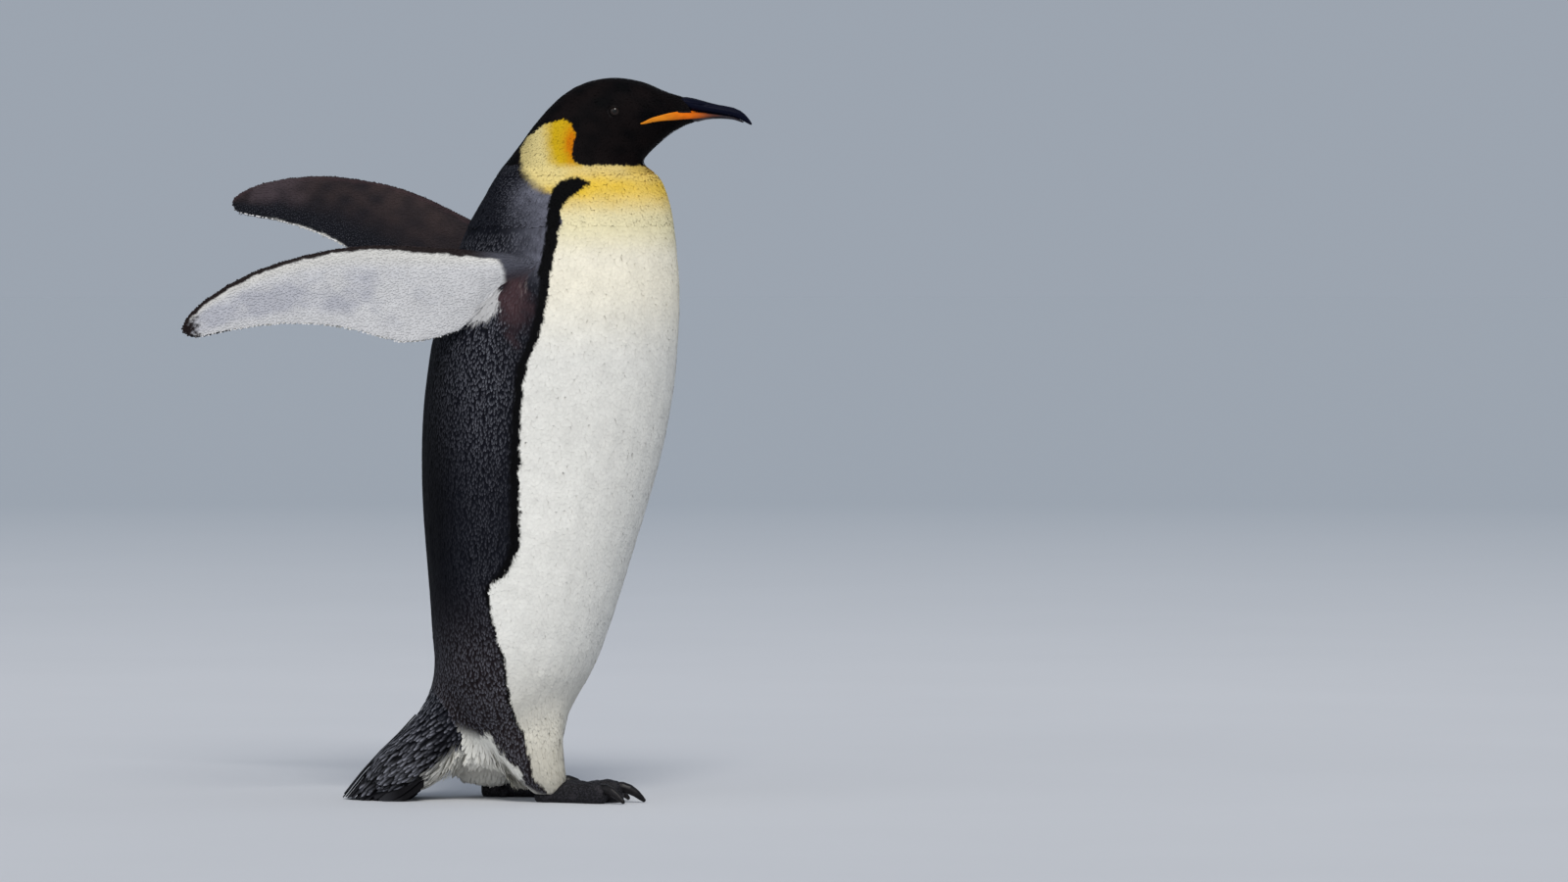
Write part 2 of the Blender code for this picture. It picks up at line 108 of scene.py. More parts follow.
# Colours, linear.
WHITE = np.array((0.76, 0.745, 0.695))
LEG_WHITE = np.array((0.56, 0.53, 0.45))
VENT_WHITE = np.array((0.80, 0.78, 0.71))
IVORY = np.array((0.785, 0.735, 0.605))
CREAM = np.array((0.72, 0.65, 0.415))
STRAW = np.array((0.72, 0.56, 0.22))
GOLD = np.array((0.76, 0.49, 0.022))
EAR_CREAM = np.array((0.655, 0.54, 0.235))
EAR_YELLOW = np.array((0.56, 0.36, 0.010))
EAR_ORANGE = np.array((0.58, 0.175, 0.002))
BLACK = np.array((0.0030, 0.0029, 0.0034))
SLATE = np.array((0.0060, 0.0066, 0.0100))
SHOULDER_GREY = np.array((0.125, 0.127, 0.160))
BROWN = np.array((0.020, 0.0135, 0.0135))
BARE = np.array((0.062, 0.034, 0.038))
CREASE = np.array((0.34, 0.28, 0.27))
UNDERWING = np.array((0.69, 0.68, 0.68))
UNDERWING_GREY = np.array((0.52, 0.52, 0.56))
WING_TIP = np.array((0.060, 0.044, 0.050))
PLATE_ORANGE = np.array((0.74, 0.150, 0.003))
PLATE_YELLOW = np.array((0.76, 0.250, 0.012))
PLATE_BROWN = np.array((0.080, 0.028, 0.020))
PLATE_TIP = np.array((0.034, 0.026, 0.032))
# Colour of the pale feather tips: partly their own lighter tips, partly painted glints where the tips catch the
# light.
PALE_TIP_AND_GLINT = (0.36, 0.365, 0.42)

# The edge of the white front on the side of the body, from the tip of the dark
# hook beside the throat down to the foot: x, z.
FLANK = (
    (0.020, 0.885), (0.020, 0.830), (0.018, 0.795), (0.012, 0.760), (0.006, 0.725),
    (0.003, 0.700), (-0.004, 0.662), (-0.010, 0.640), (-0.018, 0.621), (-0.026, 0.596),
    (-0.032, 0.540), (-0.036, 0.460), (-0.036, 0.370), (-0.041, 0.342), (-0.054, 0.319),
    (-0.076, 0.299), (-0.077, 0.276), (-0.067, 0.237), (-0.057, 0.196), (-0.053, 0.156),
    (-0.042, 0.118), (-0.031, 0.094), (-0.025, 0.066), (-0.021, 0.042), (-0.008, 0.022),
    (0.004, 0.008), (0.006, -0.010),
)
# The far side's edge steps back over the leg, which is set further forward.
FAR_STEP = 0.078
# The black hook beside the throat, a tapering stroke: x, z, half width.
HOOK = (
    (0.058, 0.852, 0.0020), (0.050, 0.854, 0.0055), (0.040, 0.852, 0.0098), (0.029, 0.848, 0.0128),
    (0.019, 0.840, 0.0124), (0.012, 0.825, 0.0098), (0.009, 0.807, 0.0092), (0.008, 0.789, 0.0090),
    (0.005, 0.769, 0.0085), (0.001, 0.749, 0.0080), (-0.004, 0.728, 0.0070),
)
# The pale patch behind the ear: x, z.
EAR = (
    (0.048, 0.876), (0.036, 0.884), (0.034, 0.902), (0.037, 0.922), (0.031, 0.937),
    (0.016, 0.941), (-0.006, 0.934), (-0.028, 0.918), (-0.038, 0.900), (-0.035, 0.878),
    (-0.023, 0.858), (-0.006, 0.845), (0.010, 0.840), (0.030, 0.850),
)
CAP_BORDER_Z = 0.878
# The white arch under the tail, its rear and its front edge: z, x.
ARCH_TOP = 0.096
ARCH_REAR = ((0.000, -0.182), (0.036, -0.138), (0.060, -0.127), (0.077, -0.111), (0.096, -0.086))
ARCH_FRONT = (
    (0.000, -0.034), (0.037, -0.034), (0.052, -0.043), (0.063, -0.057), (0.077, -0.067), (0.096, -0.082),
)
# The round inner end of the right flipper's white panel, where it meets the
# flank: x, z, radius, and the height above which the flipper covers it.
PANEL_END = (-0.098, 0.696, 0.036, 0.712)
# Two pale creases in the bare skin before the flipper's root: x, z.
CREASES = (((-0.036, 0.716), (-0.032, 0.695)), ((-0.028, 0.722), (-0.027, 0.703)))

# The orange plate on each side of the lower bill: x, lower edge z, upper edge z.
PLATE = np.array((
    (0.128, 0.9352, 0.9362), (0.135, 0.9357, 0.9400), (0.142, 0.9375, 0.9437),
    (0.155, 0.9398, 0.9475), (0.170, 0.9410, 0.9515), (0.185, 0.9423, 0.9538),
    (0.205, 0.9435, 0.9543), (0.220, 0.9448, 0.9533), (0.230, 0.9460, 0.9518),
    (0.240, 0.9462, 0.9508), (0.252, 0.9463, 0.9490),
))

# The tail's top and underside (x, z) and half its width, from root to tip.
TAIL_TOP = np.array((
    (-0.150, 0.178), (-0.171, 0.146), (-0.190, 0.112), (-0.214, 0.088), (-0.240, 0.062),
    (-0.264, 0.034), (-0.288, 0.002),
))
TAIL_UNDER = np.array((
    (-0.092, 0.086), (-0.118, 0.060), (-0.140, 0.040), (-0.162, 0.024), (-0.182, 0.014),
    (-0.200, 0.007), (-0.214, 0.003),
))
TAIL_HALF_WIDTH = np.array((0.074, 0.073, 0.068, 0.064, 0.061, 0.058, 0.056))
# A stiff feather: share of its length, share of its width; and its section:
# share of the half width, rise.
STIFF_SHAPE = ((0.0, 0.55), (0.25, 0.85), (0.5, 1.0), (0.75, 1.0), (0.89, 0.94), (0.965, 0.66), (1.0, 0.10))
STIFF_SECTION = ((-1, 0.0), (0, 0.0016), (1, 0.0), (0, -0.0004))
# Layer of the fan, feathers in it.
STIFF_LAYERS = ((0, 23), (1, 20), (2, 16))

# A vane: rings of left edge, crown and right edge between its root point and
# its tip. Each row: share of the length, share of the width.
VANE_RINGS = ((0.50, 0.96), (0.87, 0.82))
VANE_CROWN = 0.03
VANE_RISE = 0.45
VANE_TIP = 0.98
# Corner numbers of one vane: root 0, rings of left, crown, right, then the tip.
VANE_FACES = (
    (0, 2, 1), (0, 3, 2), (0, 1, 3), (1, 2, 5, 4), (2, 3, 6, 5), (3, 1, 4, 6),
    (4, 5, 7), (5, 6, 7), (6, 4, 7),
)
VANE_TRIANGLES = 12
PIECE_LIMIT = 195000
# How far a feather is bent to the skin, and how far past its edge it may be.
HUG_REACH = 0.006
HUG_ASIDE = 0.003
FLOOR_CLEARANCE = 0.0008
# How far a feather's marking strays from the pattern's line.
COLOUR_STRAY = 0.0006
BAKE_PATCH = 0.003

# The bill's halves meet, and their roots pass under the coat of the face.
BILL_GROWTH = 0.00022
BILL_ROOT_REACH = 0.012
BILL_RIPPLE = 0.00012
# The groove from the nostril forward under the culmen: x, z. And how far the
# upper half's edge comes down: x, drop.
GROOVE = ((0.200, 0.9640), (0.225, 0.9598), (0.250, 0.9560), (0.268, 0.9505))
GAPE = ((0.190, 0.0020), (0.208, 0.0017), (0.2175, 0.0014), (0.231, 0.0010), (0.2446, 0.0006), (0.257, 0.0003))

PLATE_STEPS = 90
PLATE_ROWS = 9
PLATE_PROUD = 0.0006
PLATE_LAP = 0.0010
PLATE_SINK = 0.0005
PLATE_BASE = 0.0020

EYE_RADIUS = 0.0100
CORNEA_START = 0.82
CORNEA_RISE = 0.0005
LID_OPENING = (0.0064, 0.0055)
LID_OUTER = 0.0104
LID_SEGMENTS = 64
LID_SECTION = 14

FOOT_GROWTH = 0.0010
CLAW_GROWTH = 0.0022

CAMERA_DISTANCE = 12.0
CAMERA_HEIGHT = 0.789
CAMERA_AIM = Vector((0.326, 0.0, 0.497))
VIEW_WIDTH = 2.1739
SENSOR = 36.0
FLOOR_RADIUS = 90.0
FLOOR_NEAR = 3.0
FLOOR_FAR = 13.0

RANDOM = np.random.default_rng(SEED)
WAVES = RANDOM.normal(size=(24, 3))
PHASES = RANDOM.uniform(0, 2 * math.pi, 24)


# ---------------------------------------------------------------- helpers

def unit(vectors):
    return vectors / np.maximum(np.linalg.norm(vectors, axis=-1, keepdims=True), 1e-9)


def ramp(value, low, high):
    """0 below low, 1 above high, smooth between them."""
    part = np.clip((value - low) / (high - low), 0.0, 1.0)
    return part * part * (3 - 2 * part)


def mix(first, second, share):
    share = np.asarray(share)[..., None]
    return first * (1 - share) + second * share


def follow(value, table, **ends):
    """The table's second column at a value of its first."""
    table = np.array(table)
    return np.interp(value, table[:, 0], table[:, 1], **ends)


def outline_distance(points, outline):
    """Distance to a closed outline in the plane, negative inside it."""
    best = np.full(len(points), 1e9)
    inside = np.zeros(len(points), bool)
    for start, end in zip(outline, np.roll(outline, -1, axis=0)):
        best = np.minimum(best, segment_distance(points, start, end))
        crosses = (start[1] > points[:, 1]) != (end[1] > points[:, 1])
        rise = np.where(abs(end[1] - start[1]) < 1e-12, 1e-12, end[1] - start[1])
        at = start[0] + (points[:, 1] - start[1]) * (end[0] - start[0]) / rise
        inside ^= crosses & (points[:, 0] < at)
    return np.where(inside, -best, best)


def segment_distance(points, start, end):
    start, end = np.array(start), np.array(end)
    span = end - start
    share = np.clip((points - start) @ span / (span @ span), 0, 1)
    return np.linalg.norm(points - start - share[:, None] * span, axis=1)


def through(points, closed=False, steps=6):
    """A smooth line through a few points."""
    points = np.array(points, float)
    if closed:
        ring = np.vstack((points[-1:], points, points[:2]))
    else:
        ring = np.vstack((2 * points[0] - points[1], points, 2 * points[-1] - points[-2]))
    made = []
    for before, start, end, after in zip(ring, ring[1:], ring[2:], ring[3:]):
        for share in np.arange(steps) / steps:
            bend = 2 * before - 5 * start + 4 * end - after
            twist = 3 * start - before - 3 * end + after
            made.append(start + 0.5 * ((end - before) * share + bend * share ** 2 + twist * share ** 3))
    if not closed:
        made.append(points[-1])
    return np.array(made)


def stroke_distance(points, stroke, reach=0.03):
    """Distance to a tapering stroke's edge, less than nothing inside it."""
    nearest = np.full(len(points), 9.0)
    low, high = stroke[:, :2].min(0) - reach, stroke[:, :2].max(0) + reach
    close = np.all((points > low) & (points < high), axis=1)
    for x, z, half in stroke:
        apart = np.hypot(points[close, 0] - x, points[close, 1] - z) - half
        nearest[close] = np.minimum(nearest[close], apart)
    return nearest


def wander(points, scale):
    """Smooth noise from -1 to 1 with features about the given size."""
    total = np.zeros(len(points))
    for wave, phase in zip(WAVES, PHASES):
        total += np.sin(points @ wave * (2.2 / scale) + phase)
    return total / 4.9


def patchy(points, middle, swing, scale):
    """A share that wanders round its middle value."""
    return (middle + swing * wander(points, scale)).clip(0, 1)


def blade_axes(side, away, rise, lean, lift):
    """A flipper's root, and its axes along, to the leading edge, and outward."""
    away, rise, lean = (math.radians(angle) for angle in (away, rise, lean))
    along = np.array((
        -math.cos(rise) * math.cos(away), side * math.cos(rise) * math.sin(away), math.sin(rise),
    ))
    edge = np.array((0.0, 0.0, 1.0)) - along * along[2]
    edge /= np.linalg.norm(edge)

    def outward(edge):
        across = np.cross(along, edge)
        return across * np.sign(across[1]) * side

    edge = edge * math.cos(lean) + outward(edge) * math.sin(lean)
    root = np.array((SHOULDER[0], side * SHOULDER[1], SHOULDER[2] + lift))
    return root, along, edge, outward(edge)


BLADES = {label: blade_axes(*hold) for label, hold in HOLDS.items()}


def on_blade(points, label):
    """Distance along the blade, towards its leading edge, and outward."""
    root, *axes = BLADES[label]
    return [(points - root) @ axis for axis in axes]


def blade_edges(along):
    return np.interp(along, BLADE[:, 0], BLADE[:, 1]), np.interp(along, BLADE[:, 0], BLADE[:, 2])


def tail_reach(points):
    return (points - TAIL_ROOT) @ TAIL_HEADING


def hang(points, normals):
    """How freely the feathers hang below the belly, round the vent."""
    x, y, z = points.T
    low = ramp(0.135 - z, 0.0, 0.03) * ramp(-normals[:, 2], 0.05, 0.6)
    return low * ramp(0.085 - np.abs(y), 0.0, 0.03) * ramp(x, -0.150, -0.120) * ramp(z, 0.03, 0.05)


# ---------------------------------------------------------------- markings

FLANK_LINE = through(FLANK)
EAR_LINE = through(EAR, closed=True)
HOOK_LINE = through(HOOK, steps=8)


def flank_edge(z):
    return np.interp(-z, -FLANK_LINE[:, 1], FLANK_LINE[:, 0])


def back_colour(points, x, across, z):
    """Near black, lighter on the neck's side, brown low on the flank, and blacker towards the rear of the lower
    back as painted shade.
    """
    back = mix(SLATE, BROWN, ramp(0.34 - z, 0.0, 0.2) * 0.6)
    # Painted shade: the lower back goes blacker towards its rear edge, away from the light.
    back = mix(back, BLACK, ramp(-x, 0.11, 0.155) * ramp(z, 0.2, 0.4) * 0.7)
    neck_side = ramp(x, -0.070, -0.006) * ramp(z, 0.720, 0.765) * ramp(0.868 - z, 0.0, 0.03)
    neck_side *= 0.78 + 0.55 * ramp(z, 0.785, 0.835) * ramp(x, -0.060, -0.020)
    wing_root = np.exp(-((x + 0.018) / 0.030) ** 2 - ((z - 0.748) / 0.022) ** 2)
    lighter = np.maximum(neck_side, wing_root) * ramp(across, 0.035, 0.06)
    back = mix(back, SHOULDER_GREY, lighter * patchy(points, 0.76, 0.2, 0.012))
    back = mix(back, BLACK, ramp(z, 0.872, 0.900))
    bare = np.hypot((x + 0.046) / 0.026, (z - 0.692) / 0.042) + 0.25 * wander(points, 0.016)
    back = mix(back, BARE, (1 - ramp(bare, 0.25, 1.35)) * 0.85 * ramp(across, 0.05, 0.1))
    for start, end in CREASES:
        apart = segment_distance(np.stack((x, z), 1), start, end)
        back = mix(back, CREASE, (1 - ramp(apart, 0.0002, 0.0014)) * 0.25 * (across > 0.05))
    return back, bare


def front_colour(points, x, z):
    """White, cream upwards, with a golden band below the throat."""
    front = mix(LEG_WHITE, WHITE, ramp(z, 0.05, 0.24))
    front = front * (1 - 0.06 * ramp(z, 0.40, 0.52))[:, None]
    for colour, low, high in ((IVORY, 0.60, 0.73), (CREAM, 0.745, 0.800), (STRAW, 0.800, 0.850)):
        front = mix(front, colour, ramp(z, low, high))
    gold = np.exp(-((z - 0.850) / np.where(z > 0.850, 0.016, 0.026)) ** 2)
    gold = gold * (1 - 0.3 * ramp(x, 0.070, 0.115))
    throat = ramp(x, 0.085, 0.125) * ramp(z, 0.835, 0.860)
    front = mix(front, GOLD, np.maximum(gold, throat * 0.45) * patchy(points, 0.85, 0.12, 0.02))
    return mix(front, EAR_CREAM * 1.12, ramp(0.044 - x, 0.0, 0.03) * ramp(z, 0.838, 0.856) * 0.8)


def ear_colour(x, z, ragged, front):
    """Cream behind, yellow, then orange at the front edge, and darker towards the rear as painted shade."""
    slant = x - 0.30 * np.maximum(0.905 - z, 0.0)
    ear = mix(EAR_CREAM, EAR_YELLOW, ramp(slant + ragged, -0.014, 0.010))
    orange = np.exp(-((x - 0.034 + ragged) / 0.0095) ** 2 - ((z - 0.908) / 0.024) ** 2)
    ear = mix(ear, EAR_ORANGE, np.clip(1.3 * orange, 0, 1))
    # Painted shade: the patch darkens towards its rear, where it turns away from the light.
    ear = ear * (1 - 0.24 * ramp(-0.010 - x, 0.0, 0.025))[:, None]
    return mix(ear, front, ramp(0.884 - z, 0.0, 0.014))


def markings(points, normals, labels):
    """Colour of skin and coat at each place, and how much pale tip it has: partly the feathers' own pale tips,
    partly painted glints.
    """
    x, y, z = points.T
    across = np.abs(y)
    ragged = wander(points, 0.004) * 0.0011 + wander(points, 0.011) * 0.0010
    x_flank = x + np.where(y > 0, ramp(0.17 - z, 0.0, 0.13) * FAR_STEP, 0.0)
    back, bare = back_colour(points, x, across, z)
    front = front_colour(points, x, z)
    ear = ear_colour(x, z, ragged, front)

    front_gap = np.where(z < CAP_BORDER_Z + 0.004, x_flank - flank_edge(z), -1.0) + ragged
    plane = np.stack((x, z), 1)
    ear_gap = -outline_distance(plane, EAR_LINE) + ragged * 0.8
    # The pale patch's rear and lower edges fade into the grey.
    fade = 0.0008 + 0.009 * ramp(0.900 - z, 0.0, 0.04) * ramp(0.010 - x, 0.0, 0.02)
    ear_share = ramp(ear_gap, -fade, fade)
    front_share = ramp(front_gap, -0.0006, 0.0010)

    # Black line along the dark side's edge, and the hook above it.
    band = 0.0040 + 0.0100 * ramp(z, 0.27, 0.34)
    near_line = (1 - ramp(-front_gap, band * 0.7, band * 1.25)) * ramp(0.800 - z, 0.0, 0.03)
    hook = 1 - ramp(stroke_distance(plane, HOOK_LINE) + ragged * 0.5, -0.0008, 0.0008)
    colour = mix(back, BLACK, near_line * ramp(z, 0.02, 0.12))
    for over, share in ((front, front_share), (ear, ear_share), (BLACK, hook)):
        colour = mix(colour, over, share)

    # Cap of the head.
    cap_line = CAP_BORDER_Z + ragged * 0.5
    cap = ramp(z - cap_line, -0.0005, 0.0008) * (1 - ear_share)
    cap_colour = mix(BLACK, BROWN * 0.5, 0.30 + 0.30 * wander(points, 0.02).clip(-1, 1))
    colour = mix(colour, cap_colour, np.where(z > cap_line - 0.002, cap, 0.0))

    # Pale tips on the dark coat: partly the feathers' own, partly painted glints of light on the tips.
    pale_tip_and_glint = np.clip(1 - front_share - ear_share, 0, 1)
    pale_tip_and_glint *= 0.18 + 0.34 * ramp(z, 0.40, 0.58) + 0.34 * ramp(0.28 - z, 0.0, 0.10)
    pale_tip_and_glint *= 1 - 0.75 * (bare < 1.0)
    # Painted sheen: above the lowest part of the trunk the pale tips show mostly in a band down the body's side
    # near x = -0.088, where light catches the plumage, and fade in front of and behind it.
    painted_sheen = np.exp(-((x + 0.088) / (0.032 + 0.020 * ramp(z, 0.35, 0.60))) ** 2)
    pale_tip_and_glint *= 1 - ramp(z, 0.18, 0.30) * (0.88 - 0.98 * painted_sheen)
    pale_tip_and_glint *= (1 - cap) * (1 - near_line) * (1 - hook)
    pale_tip_and_glint *= 1 - 0.85 * ramp(-x, 0.040, 0.080) * ramp(z, 0.74, 0.80)

    # Vent and the inner sides of the legs are white.
    inner = np.where(np.isin(labels, LEGS), ramp(0.060 - across, 0.0, 0.012), 0.0)
    under = ramp(-normals[:, 2], 0.25, 0.6) * ramp(0.085 - across, 0.0, 0.02)
    under *= ramp(x, -0.150, -0.130) * ramp(0.12 - z, 0.0, 0.03) * (labels != TAIL)
    arch = ramp(x - follow(z, ARCH_REAR) + ragged * 2.5, -0.001, 0.003)
    arch *= ramp(ARCH_TOP - z, -0.001, 0.001)
    arch *= ramp(follow(z, ARCH_FRONT) - x_flank + ragged * 2.5, -0.001, 0.003)
    vent = np.clip(np.maximum(np.maximum(inner, under), arch), 0, 1)
    colour = mix(colour, VENT_WHITE, vent)
    pale_tip_and_glint *= 1 - vent

    # Tail. Its pale streaks run on from feather to feather along it.
    tail = labels == TAIL
    reach = tail_reach(points[tail])
    below = ramp(normals[tail] @ TAIL_BELOW + ragged[tail] * 20, 0.60, 0.80)
    below *= ramp(0.110 - reach + ragged[tail] * 8, 0.0, 0.02)
    below = np.maximum(below, arch[tail])
    dark_tail = mix(SLATE, BLACK, ramp(0.12 - z[tail], 0.0, 0.08))
    colour[tail] = mix(dark_tail, VENT_WHITE, below)
    lane = np.column_stack((y[tail], points[tail] @ TAIL_BELOW, reach * 0.12))
    streak = 0.35 + 0.65 * ramp(wander(lane, 0.004), -0.9, 0.4)
    pale_tip_and_glint[tail] = (1 - below) * streak * (0.45 + 0.45 * ramp(reach, -0.02, 0.06))

    # The white panel of the right flipper runs on over the flank to its round end, in a darker copy of its white:
    # painted shade below the flipper.
    end_x, end_z, end_radius, end_top = PANEL_END
    panel = ramp(end_radius - np.hypot(x - end_x, z - end_z) + ragged * 2.5, -0.001, 0.002)
    panel *= ramp(end_top - z, 0.0, 0.004) * (labels == TRUNK) * ramp(-normals[:, 1], 0.50, 0.70)
    colour = mix(colour, UNDERWING * 0.66, panel)
    pale_tip_and_glint *= 1 - panel

    for label in BLADES:
        at = labels == label
        if at.any():
            colour[at], pale_tip_and_glint[at] = flipper_markings(points[at], normals[at], label)
    return np.clip(colour, 0.003, 1.0), np.clip(pale_tip_and_glint, 0, 1)


def flipper_markings(points, normals, label):
    along, edge, _ = on_blade(points, label)
    lead, trail = blade_edges(along)
    ragged = wander(points, 0.006) * 0.0005 + wander(points, 0.016) * 0.0009
    from_lead = lead - edge + ragged
    chord = (edge - trail) / np.maximum(lead - trail, 1e-4)

    # The side away from the body is dark.
    upper = mix(SLATE, BROWN * 1.7, ramp(chord, 0.20, 0.80) * patchy(points, 0.7, 0.25, 0.02))
    upper = mix(upper, BARE, (1 - ramp(from_lead, 0.003, 0.009)) * 0.35)
    upper = mix(upper, WING_TIP, ramp(along + 0.012 * wander(points, 0.02), 0.33, 0.39)
                * ramp(chord, 0.25, 0.6) * ramp(0.432 - along, 0.0, 0.012) * 0.8)
    upper = mix(upper, WHITE * 0.7, (1 - ramp(edge - trail + ragged, 0.0025, 0.0048))
                * ramp(along, 0.06, 0.16) * (1 - ramp(along, 0.35, 0.40)))
    # The white panel, mottled with grey along its middle.
    mottled = 0.55 + 0.75 * wander(points, 0.045) + 0.25 * wander(points, 0.014)
    middle = ramp(chord, 0.08, 0.30) * ramp(0.85 - chord, 0.0, 0.25) * ramp(along, 0.06, 0.18)
    under = mix(UNDERWING, UNDERWING_GREY, np.clip(mottled * middle, 0, 1))
    under = mix(under, CREAM * 0.92, ramp(chord, 0.74, 0.90) * 0.16)
    # Dark leading edge, speckled tip, and the arm where the panel ends.
    rim = 0.0050 + 0.0034 * (1 - ramp(along, 0.10, 0.17))
    dark = 1 - ramp(from_lead, rim - 0.001, rim + 0.001)
    dark = np.maximum(dark, ramp(along + 0.007 * wander(points, 0.004), 0.424, 0.440))
    panel_end = np.hypot(np.minimum(along - 0.040, 0.0) / 0.040, (edge - 0.012) / 0.055)
    dark = np.maximum(dark, np.where(along < 0.040, ramp(panel_end + ragged * 14, 0.84, 1.04), 0.0))
    arm = mix(BARE * 0.7, SHOULDER_GREY * 0.6, ramp(edge, 0.0, 0.03))
    under = mix(under, mix(BROWN * 0.8, arm, 1 - ramp(along, 0.0, 0.05)), dark)
    share = ramp(normals @ BLADES[label][3], -0.12, 0.12)
    return mix(upper, under, share), (1 - share) * (0.10 + 0.40 * ramp(0.55 - chord, 0.0, 0.4))


# ---------------------------------------------------------------- meshes

def read_array(items, field, width, kind=np.float32):
    flat = np.empty(len(items) * width, kind)
    items.foreach_get(field, flat)
    return flat.reshape(-1, width)


def write_array(items, field, values, kind=np.float32):
    items.foreach_set(field, np.asarray(values).astype(kind).ravel())


def coordinates(mesh):
    return read_array(mesh.vertices, "co", 3).astype(float)


def vertex_normals(mesh):
    return read_array(mesh.vertex_normals, "vector", 3).astype(float)


def set_coordinates(mesh, points):
    write_array(mesh.vertices, "co", points)
    mesh.update()


def edge_array(mesh):
    return read_array(mesh.edges, "vertices", 2, np.int32)


def store(layers, label, values):
    """Stores a number or a colour at each of a mesh's points."""
    wide = values.ndim == 2
    made = layers.new(label, "FLOAT_COLOR" if wide else "FLOAT", "POINT")
    if wide:
        values = np.column_stack((values, np.ones(len(values))))
    write_array(made.data, "color" if wide else "value", values)


def store_bake_place(mesh, flat):
    """Gives each corner its vertex's place on the flat unwrap."""
    loops = read_array(mesh.loops, "vertex_index", 1, np.int32)[:, 0]
    write_array(mesh.uv_layers.new(name="OFBake").uv, "vector", np.asarray(flat)[loops])


def add_object(name, data):
    made = bpy.data.objects.new(name, data)
    bpy.context.scene.collection.objects.link(made)
    return made


def add_mesh(name, work):
    mesh = bpy.data.meshes.new(name)
    work.to_mesh(mesh)
    work.free()
    return add_object(name, mesh)


def add_solid(name, points, faces):
    """A smooth closed mesh through points in the bird's frame."""
    rough = bpy.data.meshes.new("rough")
    rough.from_pydata((np.array(points) + SHIFT).tolist(), [], faces)
    work = bmesh.new()
    work.from_mesh(rough)
    bpy.data.meshes.remove(rough)
    bmesh.ops.recalc_face_normals(work, faces=work.faces)
    made = add_mesh(name, work)
    made.data.shade_smooth()
    return made


def dress(made, material, slot, *nodes):
    """Gives a piece its material, hangs it on the root's empty, and hides the nodes it replaces."""
    made.data.materials.clear()
    made.data.materials.append(material)
    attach(made, "root")
    if nodes:
        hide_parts(*nodes)


def modify(made, kind, **settings):
    """Adds a modifier and applies it."""
    step = made.modifiers.new("step", kind)
    for field, value in settings.items():
        setattr(step, field, value)
    graph = bpy.context.evaluated_depsgraph_get()
    mesh = bpy.data.meshes.new_from_object(made.evaluated_get(graph))
    old = made.data
    made.modifiers.clear()
    made.data = mesh
    bpy.data.meshes.remove(old)


def node_mesh(name):
    """A CAD node's welded points and faces, in the scene's frame."""
    work = bmesh.new()
    work.from_mesh(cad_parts[name].data)
    bmesh.ops.remove_doubles(work, verts=work.verts, dist=1e-6)
    bmesh.ops.recalc_face_normals(work, faces=work.faces)
    return work


def remeshed(name, node, voxel, smoothing):
    """A CAD node as one fine, smooth mesh."""
    made = add_mesh(name, node_mesh(node))
    modify(made, "REMESH", mode="VOXEL", voxel_size=voxel)
    set_coordinates(made.data, spread(coordinates(made.data), edge_array(made.data), smoothing))
    made.data.shade_smooth()
    return made


def spread(values, edges, rounds):
    """Averages a value at each point with its neighbours', again and again."""
    count = len(values)
    degree = np.bincount(edges.ravel(), minlength=count).astype(float)
    values = values.reshape(count, -1)
    for _ in range(rounds):
        total = np.empty_like(values)
        for axis in range(values.shape[1]):
            column = values[:, axis]
            total[:, axis] = np.bincount(edges[:, 0], column[edges[:, 1]], count)
            total[:, axis] += np.bincount(edges[:, 1], column[edges[:, 0]], count)
        values = 0.5 * values + 0.5 * total / np.maximum(degree, 1)[:, None]
    return values


# ---------------------------------------------------------------- skin

def nearest_labels(points):
    """Which node of flesh each point belongs to."""
    corners, faces, owner = [], [], []
    for label, name in enumerate(FLESH):
        work = node_mesh(name)
        base = len(corners)
        corners += [tuple(v.co - ORIGIN) for v in work.verts]
        faces += [[base + v.index for v in face.verts] for face in work.faces]
        owner += [label] * len(work.faces)
        work.free()
    tree = BVHTree.FromPolygons(corners, faces)
    return np.array([owner[tree.find_nearest(point)[2]] for point in points.tolist()])


def lie_of_coat(points, labels):
    """Where the feathers point, before it is laid along the skin."""
    flow = np.zeros_like(points)
    flow[:] = (-0.05, 0.0, -1.0)
    x, _, z = points.T
    rear = ramp(-x, 0.08, 0.15) * ramp(0.26 - z, 0.0, 0.10)
    flow += rear[:, None] * np.array((-0.65, 0.0, 0.25))
    head = (labels == HEAD) | ((labels == NECK) & (z > 0.86))
    down = ramp(0.205 - x, 0.06, 0.24)[:, None] * np.array((0.0, 0.0, -1.1))
    flow[head] = (unit(points - BILL_ROOT) + down)[head]
    flow[labels == TAIL] = TAIL_HEADING
    for label, (_, along, edge, _) in BLADES.items():
        flow[labels == label] = along - 0.10 * edge
    return flow


